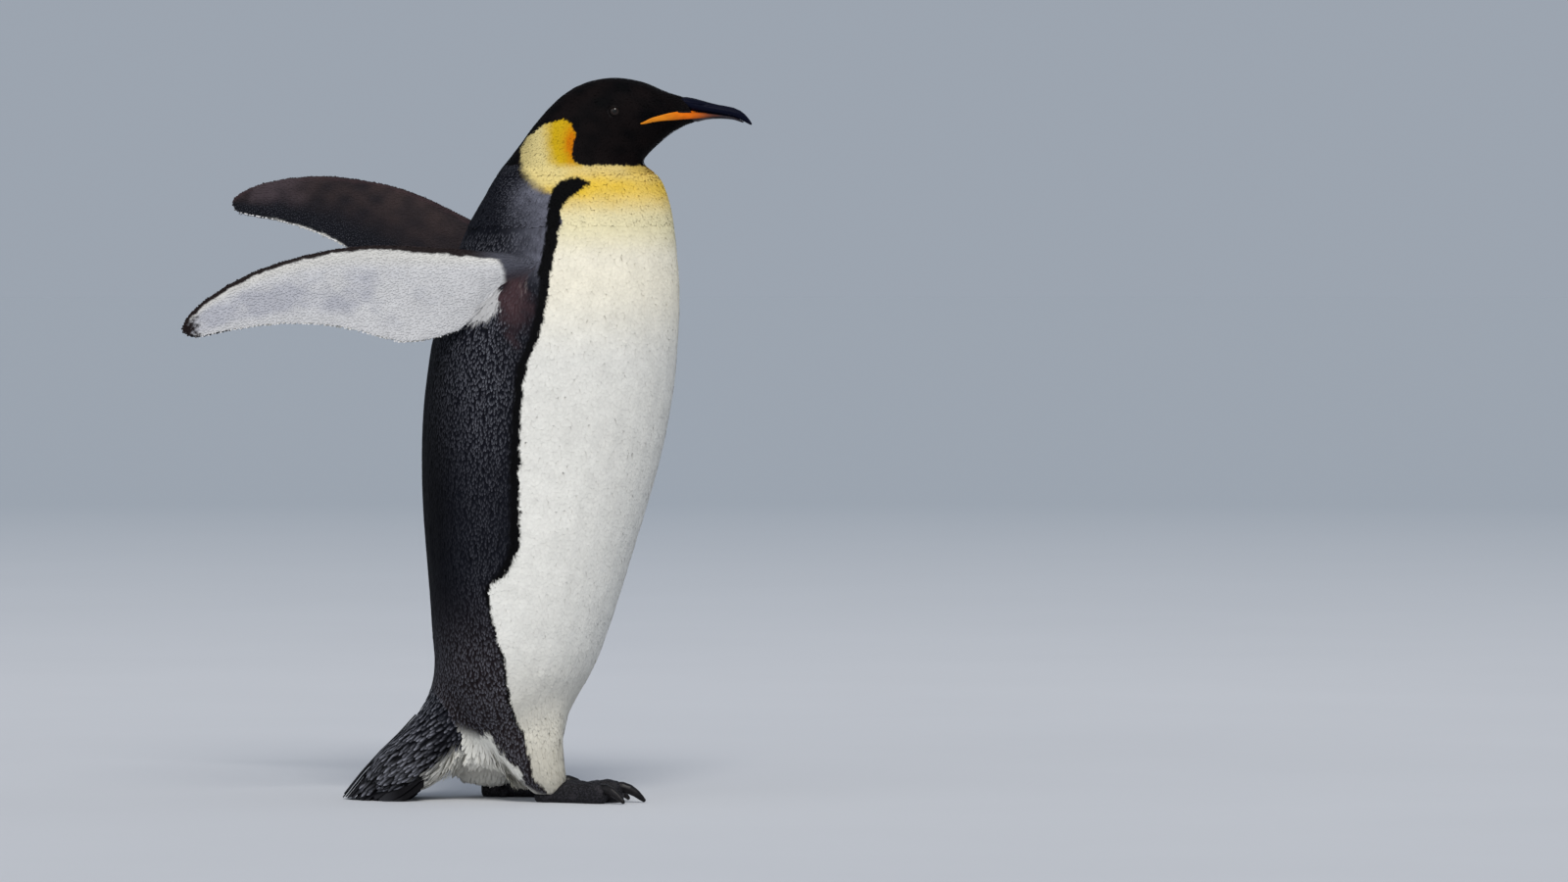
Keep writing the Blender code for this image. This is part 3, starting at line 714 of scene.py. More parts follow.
def build_skin():
    """One closed skin under the coat, with its flow and depth at each point."""
    whole = bmesh.new()
    for name in FLESH + ("eye_right", "eye_left"):
        part = node_mesh(name)
        if name in FLESH:
            for vertex in part.verts:
                vertex.co += vertex.normal * SKIN_WELD
        piece = bpy.data.meshes.new("part")
        part.to_mesh(piece)
        part.free()
        whole.from_mesh(piece)
        bpy.data.meshes.remove(piece)
    skin = add_mesh("skin", whole)
    modify(skin, "REMESH", mode="VOXEL", voxel_size=SKIN_VOXEL)
    modify(skin, "DECIMATE", ratio=min(1.0, SKIN_FACES / (2.0 * len(skin.data.polygons))))
    mesh = skin.data
    points = coordinates(mesh) - SHIFT
    labels = nearest_labels(points)
    edges = edge_array(mesh)
    blade = np.isin(labels, list(BLADES)).astype(float)
    calm = 1 - np.clip(spread(blade, edges, 6)[:, 0], 0, 1)
    for _ in range(10):
        points = mix(points, spread(points, edges, 1), calm * 0.9 + 0.03)
    # The seams of trunk, tail and legs are smoothed further.
    low = np.isin(labels, (TAIL, *LEGS)).astype(float)
    shared = spread(low, edges, 60)[:, 0]
    x, _, z = points.T
    rump = ramp(-x, 0.120, 0.150) * ramp(z, 0.075, 0.105) * ramp(0.215 - z, 0.0, 0.03)
    seam = np.maximum(np.clip(6 * shared * (1 - shared), 0, 1), rump) * ramp(z, 0.025, 0.06)
    for _ in range(SEAM_ROUNDS):
        points = mix(points, spread(points, edges, 1), seam)
    # It goes in by the coat's depth, less at the bill and the flippers' edges.
    depth = spread(COAT_DEPTH[labels] + SKIN_WELD, edges, 12)[:, 0]
    depth *= 1 - 0.6 * ramp(points[:, 0], 0.165, 0.195)
    set_coordinates(mesh, points + SHIFT)
    normals = vertex_normals(mesh)
    for label, (_, _, _, outward) in BLADES.items():
        sharp = 1 - np.abs(normals @ outward)
        free = ramp(on_blade(points, label)[0], 0.03, 0.07)
        depth = np.where(labels == label, depth - EDGE_GROWTH * ramp(sharp, 0.3, 0.95) * free, depth)
    points = points - normals * depth[:, None]

    # The skin of the tail ends where the stiff feathers go on alone.
    past = np.where(labels == TAIL, np.maximum(tail_reach(points) - TAIL_SKIN_END, 0.0), 0.0)
    points = points - TAIL_HEADING * (past * TAIL_SKIN_CUT)[:, None]
    points[:, 2] = np.maximum(points[:, 2], SKIN_FLOOR)
    set_coordinates(mesh, points + SHIFT)
    flow = unit(spread(unit(lie_of_coat(points, labels)), edges, FLOW_ROUNDS))
    mesh.shade_smooth()
    normals = vertex_normals(mesh)
    store(mesh.color_attributes, "tint", markings(points, normals, labels)[0])
    dress(skin, skin_material(), "feathers_pale", *FLESH)
    return skin, {"points": points, "normals": normals, "labels": labels, "flow": flow, "depth": depth}


# ---------------------------------------------------------------- coat

def scatter(skin, chosen, spacing, seed):
    """Evenly spread places on the chosen part of the skin."""
    copy = add_object("scatter", skin.data.copy())
    store(copy.data.attributes, "chosen", chosen)
    tree = bpy.data.node_groups.new("scatter", "GeometryNodeTree")
    for way in ("INPUT", "OUTPUT"):
        tree.interface.new_socket("Geometry", in_out=way, socket_type="NodeSocketGeometry")
    source, target, spots, named, solid = (tree.nodes.new(kind) for kind in (
        "NodeGroupInput", "NodeGroupOutput", "GeometryNodeDistributePointsOnFaces",
        "GeometryNodeInputNamedAttribute", "GeometryNodePointsToVertices"))
    spots.distribute_method = "POISSON"
    for socket, value in (("Distance Min", spacing), ("Density Max", 5.0 / spacing ** 2), ("Seed", seed)):
        spots.inputs[socket].default_value = value
    named.data_type = "FLOAT"
    named.inputs["Name"].default_value = "chosen"
    for start, end in (
        (source.outputs[0], spots.inputs["Mesh"]),
        (named.outputs["Attribute"], spots.inputs["Density Factor"]),
        (spots.outputs["Points"], solid.inputs["Points"]), (solid.outputs[0], target.inputs[0]),
    ):
        tree.links.new(start, end)
    modify(copy, "NODES", node_group=tree)
    used = copy.data
    places = coordinates(used) - SHIFT
    bpy.data.objects.remove(copy)
    bpy.data.meshes.remove(used)
    bpy.data.node_groups.remove(tree)
    return places


class SkinReader:
    """Reads the skin's values at any place near it."""

    def __init__(self, skin, values):
        skin.data.calc_loop_triangles()
        self.corners = read_array(skin.data.loop_triangles, "vertices", 3, np.int32)
        self.values = values
        self.tree = BVHTree.FromPolygons(values["points"].tolist(), self.corners.tolist())

    def weigh(self, field, ids, weights):
        values = self.values[field][ids]
        return (values * (weights[..., None] if values.ndim == 3 else weights)).sum(1)

    def nearest(self, places):
        """The skin's corners nearest each place, their weights, and the normal."""
        face = np.array([self.tree.find_nearest(place)[2] for place in places.tolist()])
        ids = self.corners[face]
        corner = self.values["points"][ids]
        first = corner[:, 1] - corner[:, 0]
        second = corner[:, 2] - corner[:, 0]
        offset = places - corner[:, 0]
        a, b, c = (first * first).sum(1), (first * second).sum(1), (second * second).sum(1)
        d, e = (offset * first).sum(1), (offset * second).sum(1)
        span = np.maximum(a * c - b * b, 1e-18)
        v = np.clip((c * d - b * e) / span, 0, 1)
        w = np.clip((a * e - b * d) / span, 0, 1)
        weights = np.stack((np.clip(1 - v - w, 0, 1), v, w), 1)
        weights /= weights.sum(1, keepdims=True)
        return ids, weights, unit(self.weigh("normals", ids, weights))

    def read(self, places):
        ids, weights, normals = self.nearest(places)
        flow = self.weigh("flow", ids, weights)
        flow = unit(flow - normals * (flow * normals).sum(1, keepdims=True))
        return normals, flow, self.values["labels"][ids[:, 0]], self.weigh("depth", ids, weights)

    def hug(self, spots, part, share):
        """Moves spots to this part of the coat's depth, by a share of the way."""
        ids, weights, normals = self.nearest(spots)
        offset = spots - self.weigh("points", ids, weights)
        height = (offset * normals).sum(1)
        aside = np.linalg.norm(offset - height[:, None] * normals, axis=1)
        rise = part * self.weigh("depth", ids, weights)
        move = np.clip(rise - height, -HUG_REACH, HUG_REACH) * share * (aside < HUG_ASIDE)
        return spots + normals * move[:, None]


def unwrap_place(places, labels):
    """Each place on a flat unwrap of the body: round it, and along it."""
    angle = np.arctan2(places[:, 1], places[:, 0] - 0.01) / (2 * math.pi) + 0.5
    flat = np.stack((angle, places[:, 2]), 1)
    for label in BLADES:
        at = labels == label
        along, edge, outward = on_blade(places[at], label)
        flat[at, 0] = along / 0.46
        flat[at, 1] = 0.25 + (edge - 0.02) / 0.36 + np.where(outward > 0, 0.5, 0.0)
    return flat


def build_coat(name, reader, lay, material, slot):
    """Feather vanes as one mesh: closed, thin and overlapping."""
    places, normals, flow, labels, depth, length, width, lift = lay
    count = len(places)
    wild = np.random.default_rng(SEED + count)
    turn = wild.normal(0, 0.10, count)
    side = np.cross(normals, flow)
    heading = unit(flow * np.cos(turn)[:, None] + side * np.sin(turn)[:, None])
    side = np.cross(normals, heading)
    length = length * wild.uniform(0.88, 1.12, count)
    lift = lift * wild.uniform(0.95, 1.03, count)
    side = unit(side + normals * wild.normal(0, 0.02, count)[:, None])
    on_flipper = np.isin(labels, list(BLADES))
    hugging = np.where(on_flipper, 0.0, 1.0) * (1 - hang(places, normals))

    def spine(share, rise):
        spots = places + heading * (length * share)[:, None] + normals * rise[:, None]
        return reader.hug(spots, rise / depth, hugging)

    rings, across, along = [places.copy()], [0.5], [0.0]
    for share, breadth in VANE_RINGS:
        middle = spine(share, lift * share ** VANE_RISE)
        half = side * (0.5 * width * breadth)[:, None]
        arch = normals * (VANE_CROWN * width * breadth)[:, None]
        rings += [middle - half, middle + arch, middle + half]
        across += [0.0, 0.5, 1.0]
        along += [share] * 3
    rings.append(spine(1.0, lift * VANE_TIP))
    points = np.stack(rings, 1)
    points[..., 2] = np.maximum(points[..., 2], FLOOR_CLEARANCE)
    corners = points.shape[1]
    across, along = np.tile(across + [0.5], count), np.tile(along + [1.0], count)

    stray = wild.normal(0, COLOUR_STRAY, (count, 1, 3))
    stray *= np.where(on_flipper, 0.3, 1.0)[:, None, None]
    colour, _ = markings(
        (points + stray).reshape(-1, 3), np.repeat(normals, corners, 0), np.repeat(labels, corners))
    _, pale = markings(points[:, -1], normals, labels)
    luck = np.repeat(wild.uniform(0, 1, count), corners)

    sizes = np.tile([len(face) for face in VANE_FACES], count)
    order = np.concatenate(VANE_FACES)
    loops = (order[None, :] + (np.arange(count) * corners)[:, None]).ravel()
    mesh = bpy.data.meshes.new(name)
    mesh.vertices.add(count * corners)
    write_array(mesh.vertices, "co", points.reshape(-1, 3) + SHIFT)
    mesh.loops.add(len(loops))
    write_array(mesh.loops, "vertex_index", loops, np.int32)
    mesh.polygons.add(len(sizes))
    write_array(mesh.polygons, "loop_start", np.concatenate(((0,), np.cumsum(sizes)[:-1])), np.int32)
    mesh.update(calc_edges=True)
    mesh.shade_smooth()
    mesh.set_sharp_from_angle(angle=math.radians(70))
    store(mesh.attributes, "tint", colour * (0.96 + 0.08 * luck)[:, None])
    store(mesh.attributes, "along", along)
    store(mesh.attributes, "luck", luck)
    # The pale tip, partly a painted glint, is a streak along the vane's middle.
    store(mesh.attributes, "pale", np.repeat(pale, corners) * (1 - 0.95 * np.abs(2 * across - 1)))
    flat = np.repeat(unwrap_place(places, labels), corners, 0)
    store_bake_place(mesh, flat + (np.stack((across, along), 1) - 0.5) * BAKE_PATCH)
    dress(add_object(name, mesh), material, slot)


def coat_pieces(name, reader, places, shape, material, slot, keep):
    """Lays one region's feathers, in as many pieces as the limit asks."""
    normals, flow, labels, depth = reader.read(places)
    measures = [np.broadcast_to(value, len(places)) for value in shape(places, normals, depth, labels)]
    lay = [places, normals, flow, labels, depth, *measures]
    if keep is not None:
        kept, lay[5] = keep(places, normals, flow, lay[5])
        lay = [values[kept] for values in lay]
    lay[2] = unit(lay[2] + hang(lay[0], lay[1])[:, None] * np.array((0.0, 0.0, -1.2)))
    order = np.argsort(-lay[0][:, 2])
    total = math.ceil(len(order) * VANE_TRIANGLES / PIECE_LIMIT)
    for number, part in enumerate(np.array_split(order, total)):
        label = name if total == 1 else f"{name}_{number + 1}"
        build_coat(label, reader, [values[part] for values in lay], material, slot)


def trunk_shape(places, normals, depth, labels):
    """Length, width and lift of each feather, as in the functions below."""
    x, _, z = places.T
    low = ramp(0.22 - z, 0.0, 0.12)
    hanging = hang(places, normals)
    dark = ramp(flank_edge(z) - x, 0.0, 0.012)
    length = 0.0155 + 0.0040 * np.maximum(low, dark) + 0.0070 * hanging
    width = 0.0062 - 0.0006 * low - 0.0018 * dark * (1 - low)
    return length, width, depth * 0.92 + 0.006 * hanging


def neck_shape(places, normals, depth, labels):
    return 0.0105, 0.0048, depth * 0.92


def head_shape(places, normals, depth, labels):
    near_bill = 1 - ramp(0.210 - places[:, 0], 0.0, 0.09)
    return 0.0072 - 0.0034 * near_bill, 0.0032 - 0.0012 * near_bill, depth * (0.90 - 0.25 * near_bill)


def flipper_shape(places, normals, depth, labels):
    along, edge, _ = on_blade(places, labels[0])
    lead, trail = blade_edges(along)
    inside = np.minimum(np.minimum(lead - edge, edge - trail), BLADE[-1, 0] - along)
    length = 0.0034 + 0.0028 * ramp(inside, 0.001, 0.008)
    return length, 0.0020 + 0.18 * length, 0.00065


def tail_shape(places, normals, depth, labels):
    reach = tail_reach(places)
    return 0.015 + 0.017 * ramp(reach, -0.02, 0.10), 0.0050 + 0.0010 * ramp(reach, 0.0, 0.1), depth * 0.95


def leg_shape(places, normals, depth, labels):
    low = ramp(0.05 - places[:, 2], 0.0, 0.035)
    hanging = hang(places, normals)
    length = 0.0140 + 0.0100 * ramp(0.125 - places[:, 2], 0.0, 0.05) - 0.0060 * low + 0.004 * hanging
    return length, 0.0050 - 0.0006 * low, depth * 0.95 + 0.003 * hanging


def clear_of_tail_end(places, normals, flow, length):
    """Keeps soft feathers off the blunt end from which the stiff ones go on."""
    return (normals @ TAIL_HEADING < TAIL_BLUNT) | (tail_reach(places) < TAIL_SKIN_END - 0.012), length


def clear_of_face(places, normals, flow, length):
    """Keeps feathers off the eyes and the orange plates, and off the bill."""

    def covers(spots, eye_margin, plate_margin):
        flat = spots[:, (0, 2)]
        low = follow(flat[:, 0], PLATE[:, :2], left=9, right=9) + plate_margin
        high = follow(flat[:, 0], PLATE[:, ::2], left=-9, right=-9) - plate_margin
        at_eye = np.hypot(*(flat - EYE_PLACE).T) < EYE_RIM + eye_margin
        on_plate = (flat[:, 1] > low) & (flat[:, 1] < high)
        return (at_eye | on_plate) & (np.abs(spots[:, 1]) > 0.008)

    def tips(share):
        return places + flow * (length * share)[:, None]

    scale = np.ones(len(places))
    for share in (1.0, 0.8, 0.6, 0.45):
        clash = covers(tips(share), 0.0, 0.0006)
        scale = np.where(clash & (scale >= share), share * 0.75, scale)
    blocked = covers(places, 0.0006, -0.0004) | covers(tips(scale), 0.0, 0.0006)
    return ~(blocked | (places[:, 0] > 0.2025)), length * scale


def in_region(name, points, labels):
    """Whether each point belongs to a region of the coat."""
    high = points[:, 2] > HEAD_COAT_Z
    return {
        "coat_head": (labels == HEAD) | ((labels == NECK) & high),
        "coat_neck": (labels == NECK) & ~high,
        "coat_trunk": labels == TRUNK,
        "coat_flipper_right": labels == FLIPPER_RIGHT,
        "coat_flipper_left": labels == FLIPPER_LEFT,
        "coat_tail": (labels == TAIL) & (tail_reach(points) < TAIL_COAT_END),
        "coat_legs": np.isin(labels, LEGS),
    }[name]


def build_plumage(skin, values):
    reader = SkinReader(skin, values)
    edges = edge_array(skin.data)
    fine = plumage_material("plumage_head", 0.60, 0.02)
    body = plumage_material("plumage_body", 0.62, 0.02)
    wing = plumage_material("plumage_flipper", 0.58, 0.07, 0.84)
    coarse = plumage_material("plumage_tail", 0.55, 0.04, 0.55)
    # Spacing of the feathers in each region, and how they are made and kept.
    regions = (
        ("coat_head", 0.0019, head_shape, fine, "feathers_black", clear_of_face),
        ("coat_neck", 0.0026, neck_shape, body, "feathers_gold", clear_of_face),
        ("coat_trunk", 0.0030, trunk_shape, body, "feathers_pale", None),
        ("coat_flipper_right", 0.0024, flipper_shape, wing, "feathers_dark", None),
        ("coat_flipper_left", 0.0024, flipper_shape, wing, "feathers_dark", None),
        ("coat_tail", 0.0046, tail_shape, coarse, "feathers_dark", clear_of_tail_end),
        ("coat_legs", 0.0030, leg_shape, body, "feathers_pale", None),
    )
    loose = 1.0
    for number, (name, spacing, shape, material, slot, keep) in enumerate(regions):
        chosen = in_region(name, values["points"], values["labels"]).astype(float)
        wide = (spread(chosen, edges, 2)[:, 0] > 0.02).astype(float)
        places = scatter(skin, wide, spacing * loose, number + 1)
        places = places[in_region(name, places, reader.read(places)[2])]
        coat_pieces(name, reader, places, shape, material, slot, keep)
    tail_feathers(coarse)


def tail_feathers(material):
    """The stiff feathers of the tail, fanned, their tips on the floor."""
    rings, faces, tints, alongs, lucks, flats = [], [], [], [], [], []
    wild = np.random.default_rng(SEED + 3)
    cells = np.arange(len(TAIL_TOP))
    sides = len(STIFF_SECTION)
    size = len(STIFF_SHAPE) * sides
    feathers = [
        (layer, -1 + 2 * (number + 0.5 * layer) / (count - 1 + layer))
        for layer, count in STIFF_LAYERS for number in range(count)]
    for layer, fan in feathers:
        drop = min(abs(fan) ** 1.5 * 0.90 + 0.10 * layer, 1.0)
        start = 1.8 + 0.3 * layer + 1.6 * drop
        end = cells[-1] - 0.30 * wild.uniform() ** 2
        spread_out = fan * (0.92 - 0.06 * layer + 0.03 * wild.normal())
        width = 0.0240 * wild.uniform(0.85, 1.1)
        tilt = fan * 1.05
        side = np.array((0.0, math.cos(tilt), -math.sin(tilt)))
        normal = unit(np.array((-0.55 * math.cos(tilt), math.sin(tilt), 0.80 * math.cos(tilt))))
        base = len(rings)
        for share, breadth in STIFF_SHAPE:
            at = start + (end - start) * share
            top, under = (
                np.array([np.interp(at, cells, column) for column in table.T])
                for table in (TAIL_TOP, TAIL_UNDER))
            point = top * (1 - drop) + under * drop
            half = np.interp(at, cells, TAIL_HALF_WIDTH)
            middle = np.array((point[0], spread_out * half, max(point[1], 0.0016)))
            middle -= normal * (0.0026 + 0.0024 * layer) * (1 - 0.8 * share)
            middle[2] = max(middle[2], 0.0014)
            for offset, crown in STIFF_SECTION:
                corner = middle + side * width * 0.5 * breadth * offset + normal * crown
                corner[2] = max(corner[2], 0.0004)
                rings.append(corner)
                alongs.append(share)
                flats.append((0.05 + 0.9 * (fan * 0.5 + 0.5) + offset * 0.0015, 0.1 + 0.5 * layer + 0.3 * share))
        lucks += [wild.uniform()] * size
        tints += [BLACK * wild.uniform(1.1, 2.4)] * size
        for low in range(base, base + size - sides, sides):
            for part in range(sides):
                after = (part + 1) % sides
                faces.append((low + part, low + after, low + after + sides, low + part + sides))
        faces.append(range(base + sides - 1, base - 1, -1))
        faces.append(range(base + size - sides, base + size))
    made = add_solid("tail_feathers", rings, faces)
    mesh = made.data
    mesh.set_sharp_from_angle(angle=math.radians(50))
    for label, values in (
        ("tint", np.array(tints)), ("along", np.array(alongs)),
        ("luck", np.array(lucks)), ("pale", np.full(len(alongs), 0.10)),
    ):
        store(mesh.attributes, label, values)
    store_bake_place(mesh, flats)
    dress(made, material, "feathers_dark")


# ---------------------------------------------------------------- materials

class Paint:
    """A node material, built step by step."""

    def __init__(self, name, shine, roughness=0.5):
        self.material = bpy.data.materials.new(name)
        self.material.use_nodes = True
        self.tree = self.material.node_tree
        self.put("Specular IOR Level", shine)
        self.put("Roughness", roughness)

    def put(self, socket, value):
        self.fill(self.tree.nodes["Principled BSDF"].inputs[socket], value)

    def fill(self, socket, value):
        """Sets an input to a number, a vector or a colour, or links it."""
        if isinstance(value, bpy.types.NodeSocket):
            self.tree.links.new(value, socket)
        elif isinstance(value, (int, float)):
            socket.default_value = value
        else:
            socket.default_value = (*map(float, value), 1.0)[:len(socket.default_value)]

    def node(self, kind, output, inputs=(), **settings):
        """Adds a node, fills its inputs, and gives one of its outputs."""
        made = self.tree.nodes.new("ShaderNode" + kind)
        for field, value in settings.items():
            setattr(made, field, value)
        for socket, value in dict(inputs).items():
            self.fill(made.inputs[socket], value)
        return made.outputs[output]

    def attribute(self, name, output="Fac"):
        return self.node("Attribute", output, attribute_name=name)

    def place(self, stretch=None):
        place = self.node("TexCoord", "Object")
        return place if stretch is None else self.node("Mapping", "Vector", {"Vector": place, "Scale": stretch})

    def noise(self, scale, detail=3.0, roughness=0.55, stretch=None):
        return self.node("TexNoise", "Fac", {
            "Vector": self.place(stretch), "Scale": scale, "Detail": detail, "Roughness": roughness})

    def cells(self, scale):
        return self.node("TexVoronoi", "Distance", {"Vector": self.place(), "Scale": scale}, feature="F1")

    def spread(self, value, low, high, first, second):
        return self.node("MapRange", "Result", {
            "Value": value, "From Min": low, "From Max": high, "To Min": first, "To Max": second})

    def maths(self, operation, first, second):
        return self.node("Math", 0, {0: first, 1: second}, operation=operation)

    def vector(self, operation, output, inputs):
        return self.node("VectorMath", output, inputs, operation=operation)

    def scaled(self, colour, factor):
        return self.vector("SCALE", "Vector", {0: colour, "Scale": factor})

    def tinted(self, factor):
        return self.scaled(self.attribute("tint", "Color"), factor)

    def blend(self, share, first, second):
        return self.node("Mix", "Result", {"Factor": share, "A": first, "B": second}, data_type="RGBA")

    def rough(self, value, first, second):
        self.put("Roughness", self.spread(value, 0.3, 0.7, first, second))

    def bump(self, height, strength, distance):
        self.put("Normal", self.node("Bump", "Normal", {
            "Height": height, "Strength": strength, "Distance": distance}))


def plumage_material(name, roughness, shine, tip_start=0.72):
    """Feathers: their tint, a little darker at the root as painted shade, some with pale tips that are partly
    painted glints.
    """
    paint = Paint(name, shine)
    along = paint.attribute("along")
    # Pale tips, partly painted glints, towards each feather's end.
    tip = paint.spread(along, tip_start, 1.0, 0.0, 1.0)
    picked = paint.spread(paint.attribute("luck"), 0.0, 1.0, 0.35, 1.0)
    amount = paint.maths("MULTIPLY", paint.maths("MULTIPLY", tip, paint.attribute("pale")), picked)
    # Painted shade: each feather is a little darker towards its root, under the feathers that lie over it.
    colour = paint.blend(amount, paint.tinted(paint.spread(along, 0.25, 0.95, 0.93, 1.02)), PALE_TIP_AND_GLINT)
    drift = paint.noise(38.0)
    paint.put("Base Color", paint.scaled(colour, paint.spread(drift, 0.35, 0.7, 0.94, 1.04)))
    paint.rough(drift, roughness - 0.05, roughness + 0.08)
    paint.bump(paint.noise(2600.0, 2.0), 0.2, 0.0003)
    return paint.material


def skin_material():
    paint = Paint("skin_under_coat", 0.15, 0.75)
    streaks = paint.noise(420.0, 4.0, 0.6, (1.0, 1.0, 0.25))
    paint.put("Base Color", paint.tinted(paint.spread(streaks, 0.3, 0.7, 0.88, 1.0)))
    paint.bump(streaks, 0.5, 0.0008)
    return paint.material


def horn_material(name, colour, blotch_colour, roughness, shine=0.16):
    paint = Paint(name, shine)
    grain = paint.noise(160.0, 5.0, 0.6, (0.35, 1.0, 1.0))
    blotch = paint.spread(paint.noise(55.0), 0.35, 0.68, 0.0, 1.0)
    paint.put("Base Color", paint.blend(blotch, colour, blotch_colour))
    paint.rough(grain, roughness - 0.07, roughness + 0.12)
    paint.bump(grain, 0.2, 0.0002)
    return paint.material


def plate_material():
    """Orange horn in its tint, with a fine grain."""
    paint = Paint("orange_plate", 0.12)
    grain = paint.noise(210.0, 4.0, 0.55, (0.3, 1.0, 1.0))
    paint.put("Base Color", paint.tinted(paint.spread(grain, 0.3, 0.7, 0.86, 1.10)))
    paint.rough(grain, 0.30, 0.44)
    paint.bump(grain, 0.2, 0.0002)
    return paint.material


def foot_material():
    paint = Paint("foot_skin", 0.2)
    scutes = paint.cells(420.0)
    fine = paint.noise(900.0)
    base = paint.blend(paint.spread(scutes, 0.15, 0.6, 1.0, 0.0), (0.0040, 0.0038, 0.0050), (0.022, 0.020, 0.026))
    dust = paint.spread(paint.noise(70.0, 4.0), 0.5, 0.75, 0.0, 0.4)
    paint.put("Base Color", paint.blend(dust, base, (0.042, 0.036, 0.042)))
    paint.rough(fine, 0.5, 0.78)
    height = paint.maths("ADD", paint.maths("MULTIPLY", scutes, -1.0), paint.maths("MULTIPLY", fine, 0.25))
    paint.bump(height, 0.6, 0.0010)
    return paint.material


def eye_material(side):
    """Dark brown iris and black pupil, by distance from the eye's axis."""
    paint = Paint("eye_" + side, 0.25, 0.10)
    centre = Vector((EYE_PLACE[0], 0.0, EYE_PLACE[1])) + ORIGIN
    apart = paint.vector("SUBTRACT", "Vector", {0: paint.place(), 1: centre})
    flat = paint.vector("MULTIPLY", "Vector", {0: apart, 1: (1.0, 0.0, 1.0)})
    distance = paint.vector("LENGTH", "Value", {0: flat})
    iris = paint.blend(paint.noise(900.0, 4.0, 0.7), (0.006, 0.0032, 0.0024), (0.018, 0.0085, 0.0050))
    colour = paint.blend(paint.spread(distance, 0.0026, 0.0030, 0.0, 1.0), (0.002, 0.002, 0.002), iris)
    rim = paint.spread(distance, 0.0052, 0.0060, 0.0, 1.0)
    paint.put("Base Color", paint.blend(rim, colour, (0.004, 0.003, 0.003)))
    paint.put("Coat Weight", 0.08)
    paint.put("Coat Roughness", 0.03)
    return paint.material


# ---------------------------------------------------------------- bare parts

def ripple(points, scale):
    return np.array([noise.noise(Vector(point) * scale) for point in points.tolist()])


def build_bill():
    """Both halves of the bill, with a culmen ridge, nostrils and cutting edges."""
    dark = horn_material("dark_horn", (0.0018, 0.0026, 0.0100), (0.0032, 0.0040, 0.0125), 0.46, 0.05)
    plum = horn_material("plum_horn", (0.0120, 0.0100, 0.0145), (0.030, 0.024, 0.032), 0.42)
    for node, smoothing, grain, root_end, material, slot in (
        ("bill_upper", 6, 260.0, 0.201, dark, "horn_dark"),
        ("bill_lower", 5, 240.0, 0.209, plum, "horn_orange"),
    ):
        horn = remeshed(node + "_horn", node, 0.0006, smoothing)
        points = coordinates(horn.data) - SHIFT
        normals = vertex_normals(horn.data)
        upper = node == "bill_upper"
        if upper:
            # A groove runs from the nostril forward under the culmen.
            x, _, z = points.T
            groove = np.exp(-((z - follow(x, GROOVE)) / 0.0011) ** 2)
            groove *= ramp(x, 0.196, 0.204) * (1 - ramp(x, 0.250, 0.268))
            slit = np.exp(-(((x - 0.2135) / 0.0055) ** 2 + ((z - 0.9625) / 0.0009) ** 2))
            points -= normals * (0.0006 * groove + 0.0012 * slit)[:, None]
        points += normals * (BILL_GROWTH + ripple(points, grain) * BILL_RIPPLE)[:, None]
        points[:, 0] -= BILL_ROOT_REACH * ramp(-normals[:, 0], 0.55, 0.85) * (points[:, 0] < root_end)
        if upper:
            points[:, 2] -= follow(points[:, 0], GAPE) * ramp(-normals[:, 2], 0.3, 0.7)
        set_coordinates(horn.data, points + SHIFT)
        dress(horn, material, slot, node)


def side_reader():
    """How far out the head and bill reach at x and z, on one side."""
    trees = []
    for name in ("head", "bill_lower", "bill_upper"):
        work = node_mesh(name)
        trees.append(BVHTree.FromBMesh(work))
        work.free()

    def reach(x, z):
        start = Vector((x, -0.5, z)) + ORIGIN
        hits = [tree.ray_cast(start, Vector((0.0, 1.0, 0.0)))[0] for tree in trees]
        return max([0.0] + [ORIGIN.y - hit.y for hit in hits if hit is not None])

    return reach


def plate_tint(points, low, high):
    """Yellow, orange further on, then brown and a dull pink at the tip."""
    forward = points[:, 0]
    up = (points[:, 2] - low) / np.maximum(high - low, 1e-5)
    tint = mix(PLATE_YELLOW, PLATE_ORANGE, ramp(forward, 0.146, 0.196))
    tint = mix(tint, PLATE_YELLOW * 1.05, ramp(0.35 - up, 0.0, 0.3) * 0.4 * ramp(0.19 - forward, 0.0, 0.03))
    tint = mix(tint, PLATE_BROWN, ramp(forward, 0.190, 0.230))
    return mix(tint, PLATE_TIP, ramp(forward, 0.230, 0.242))


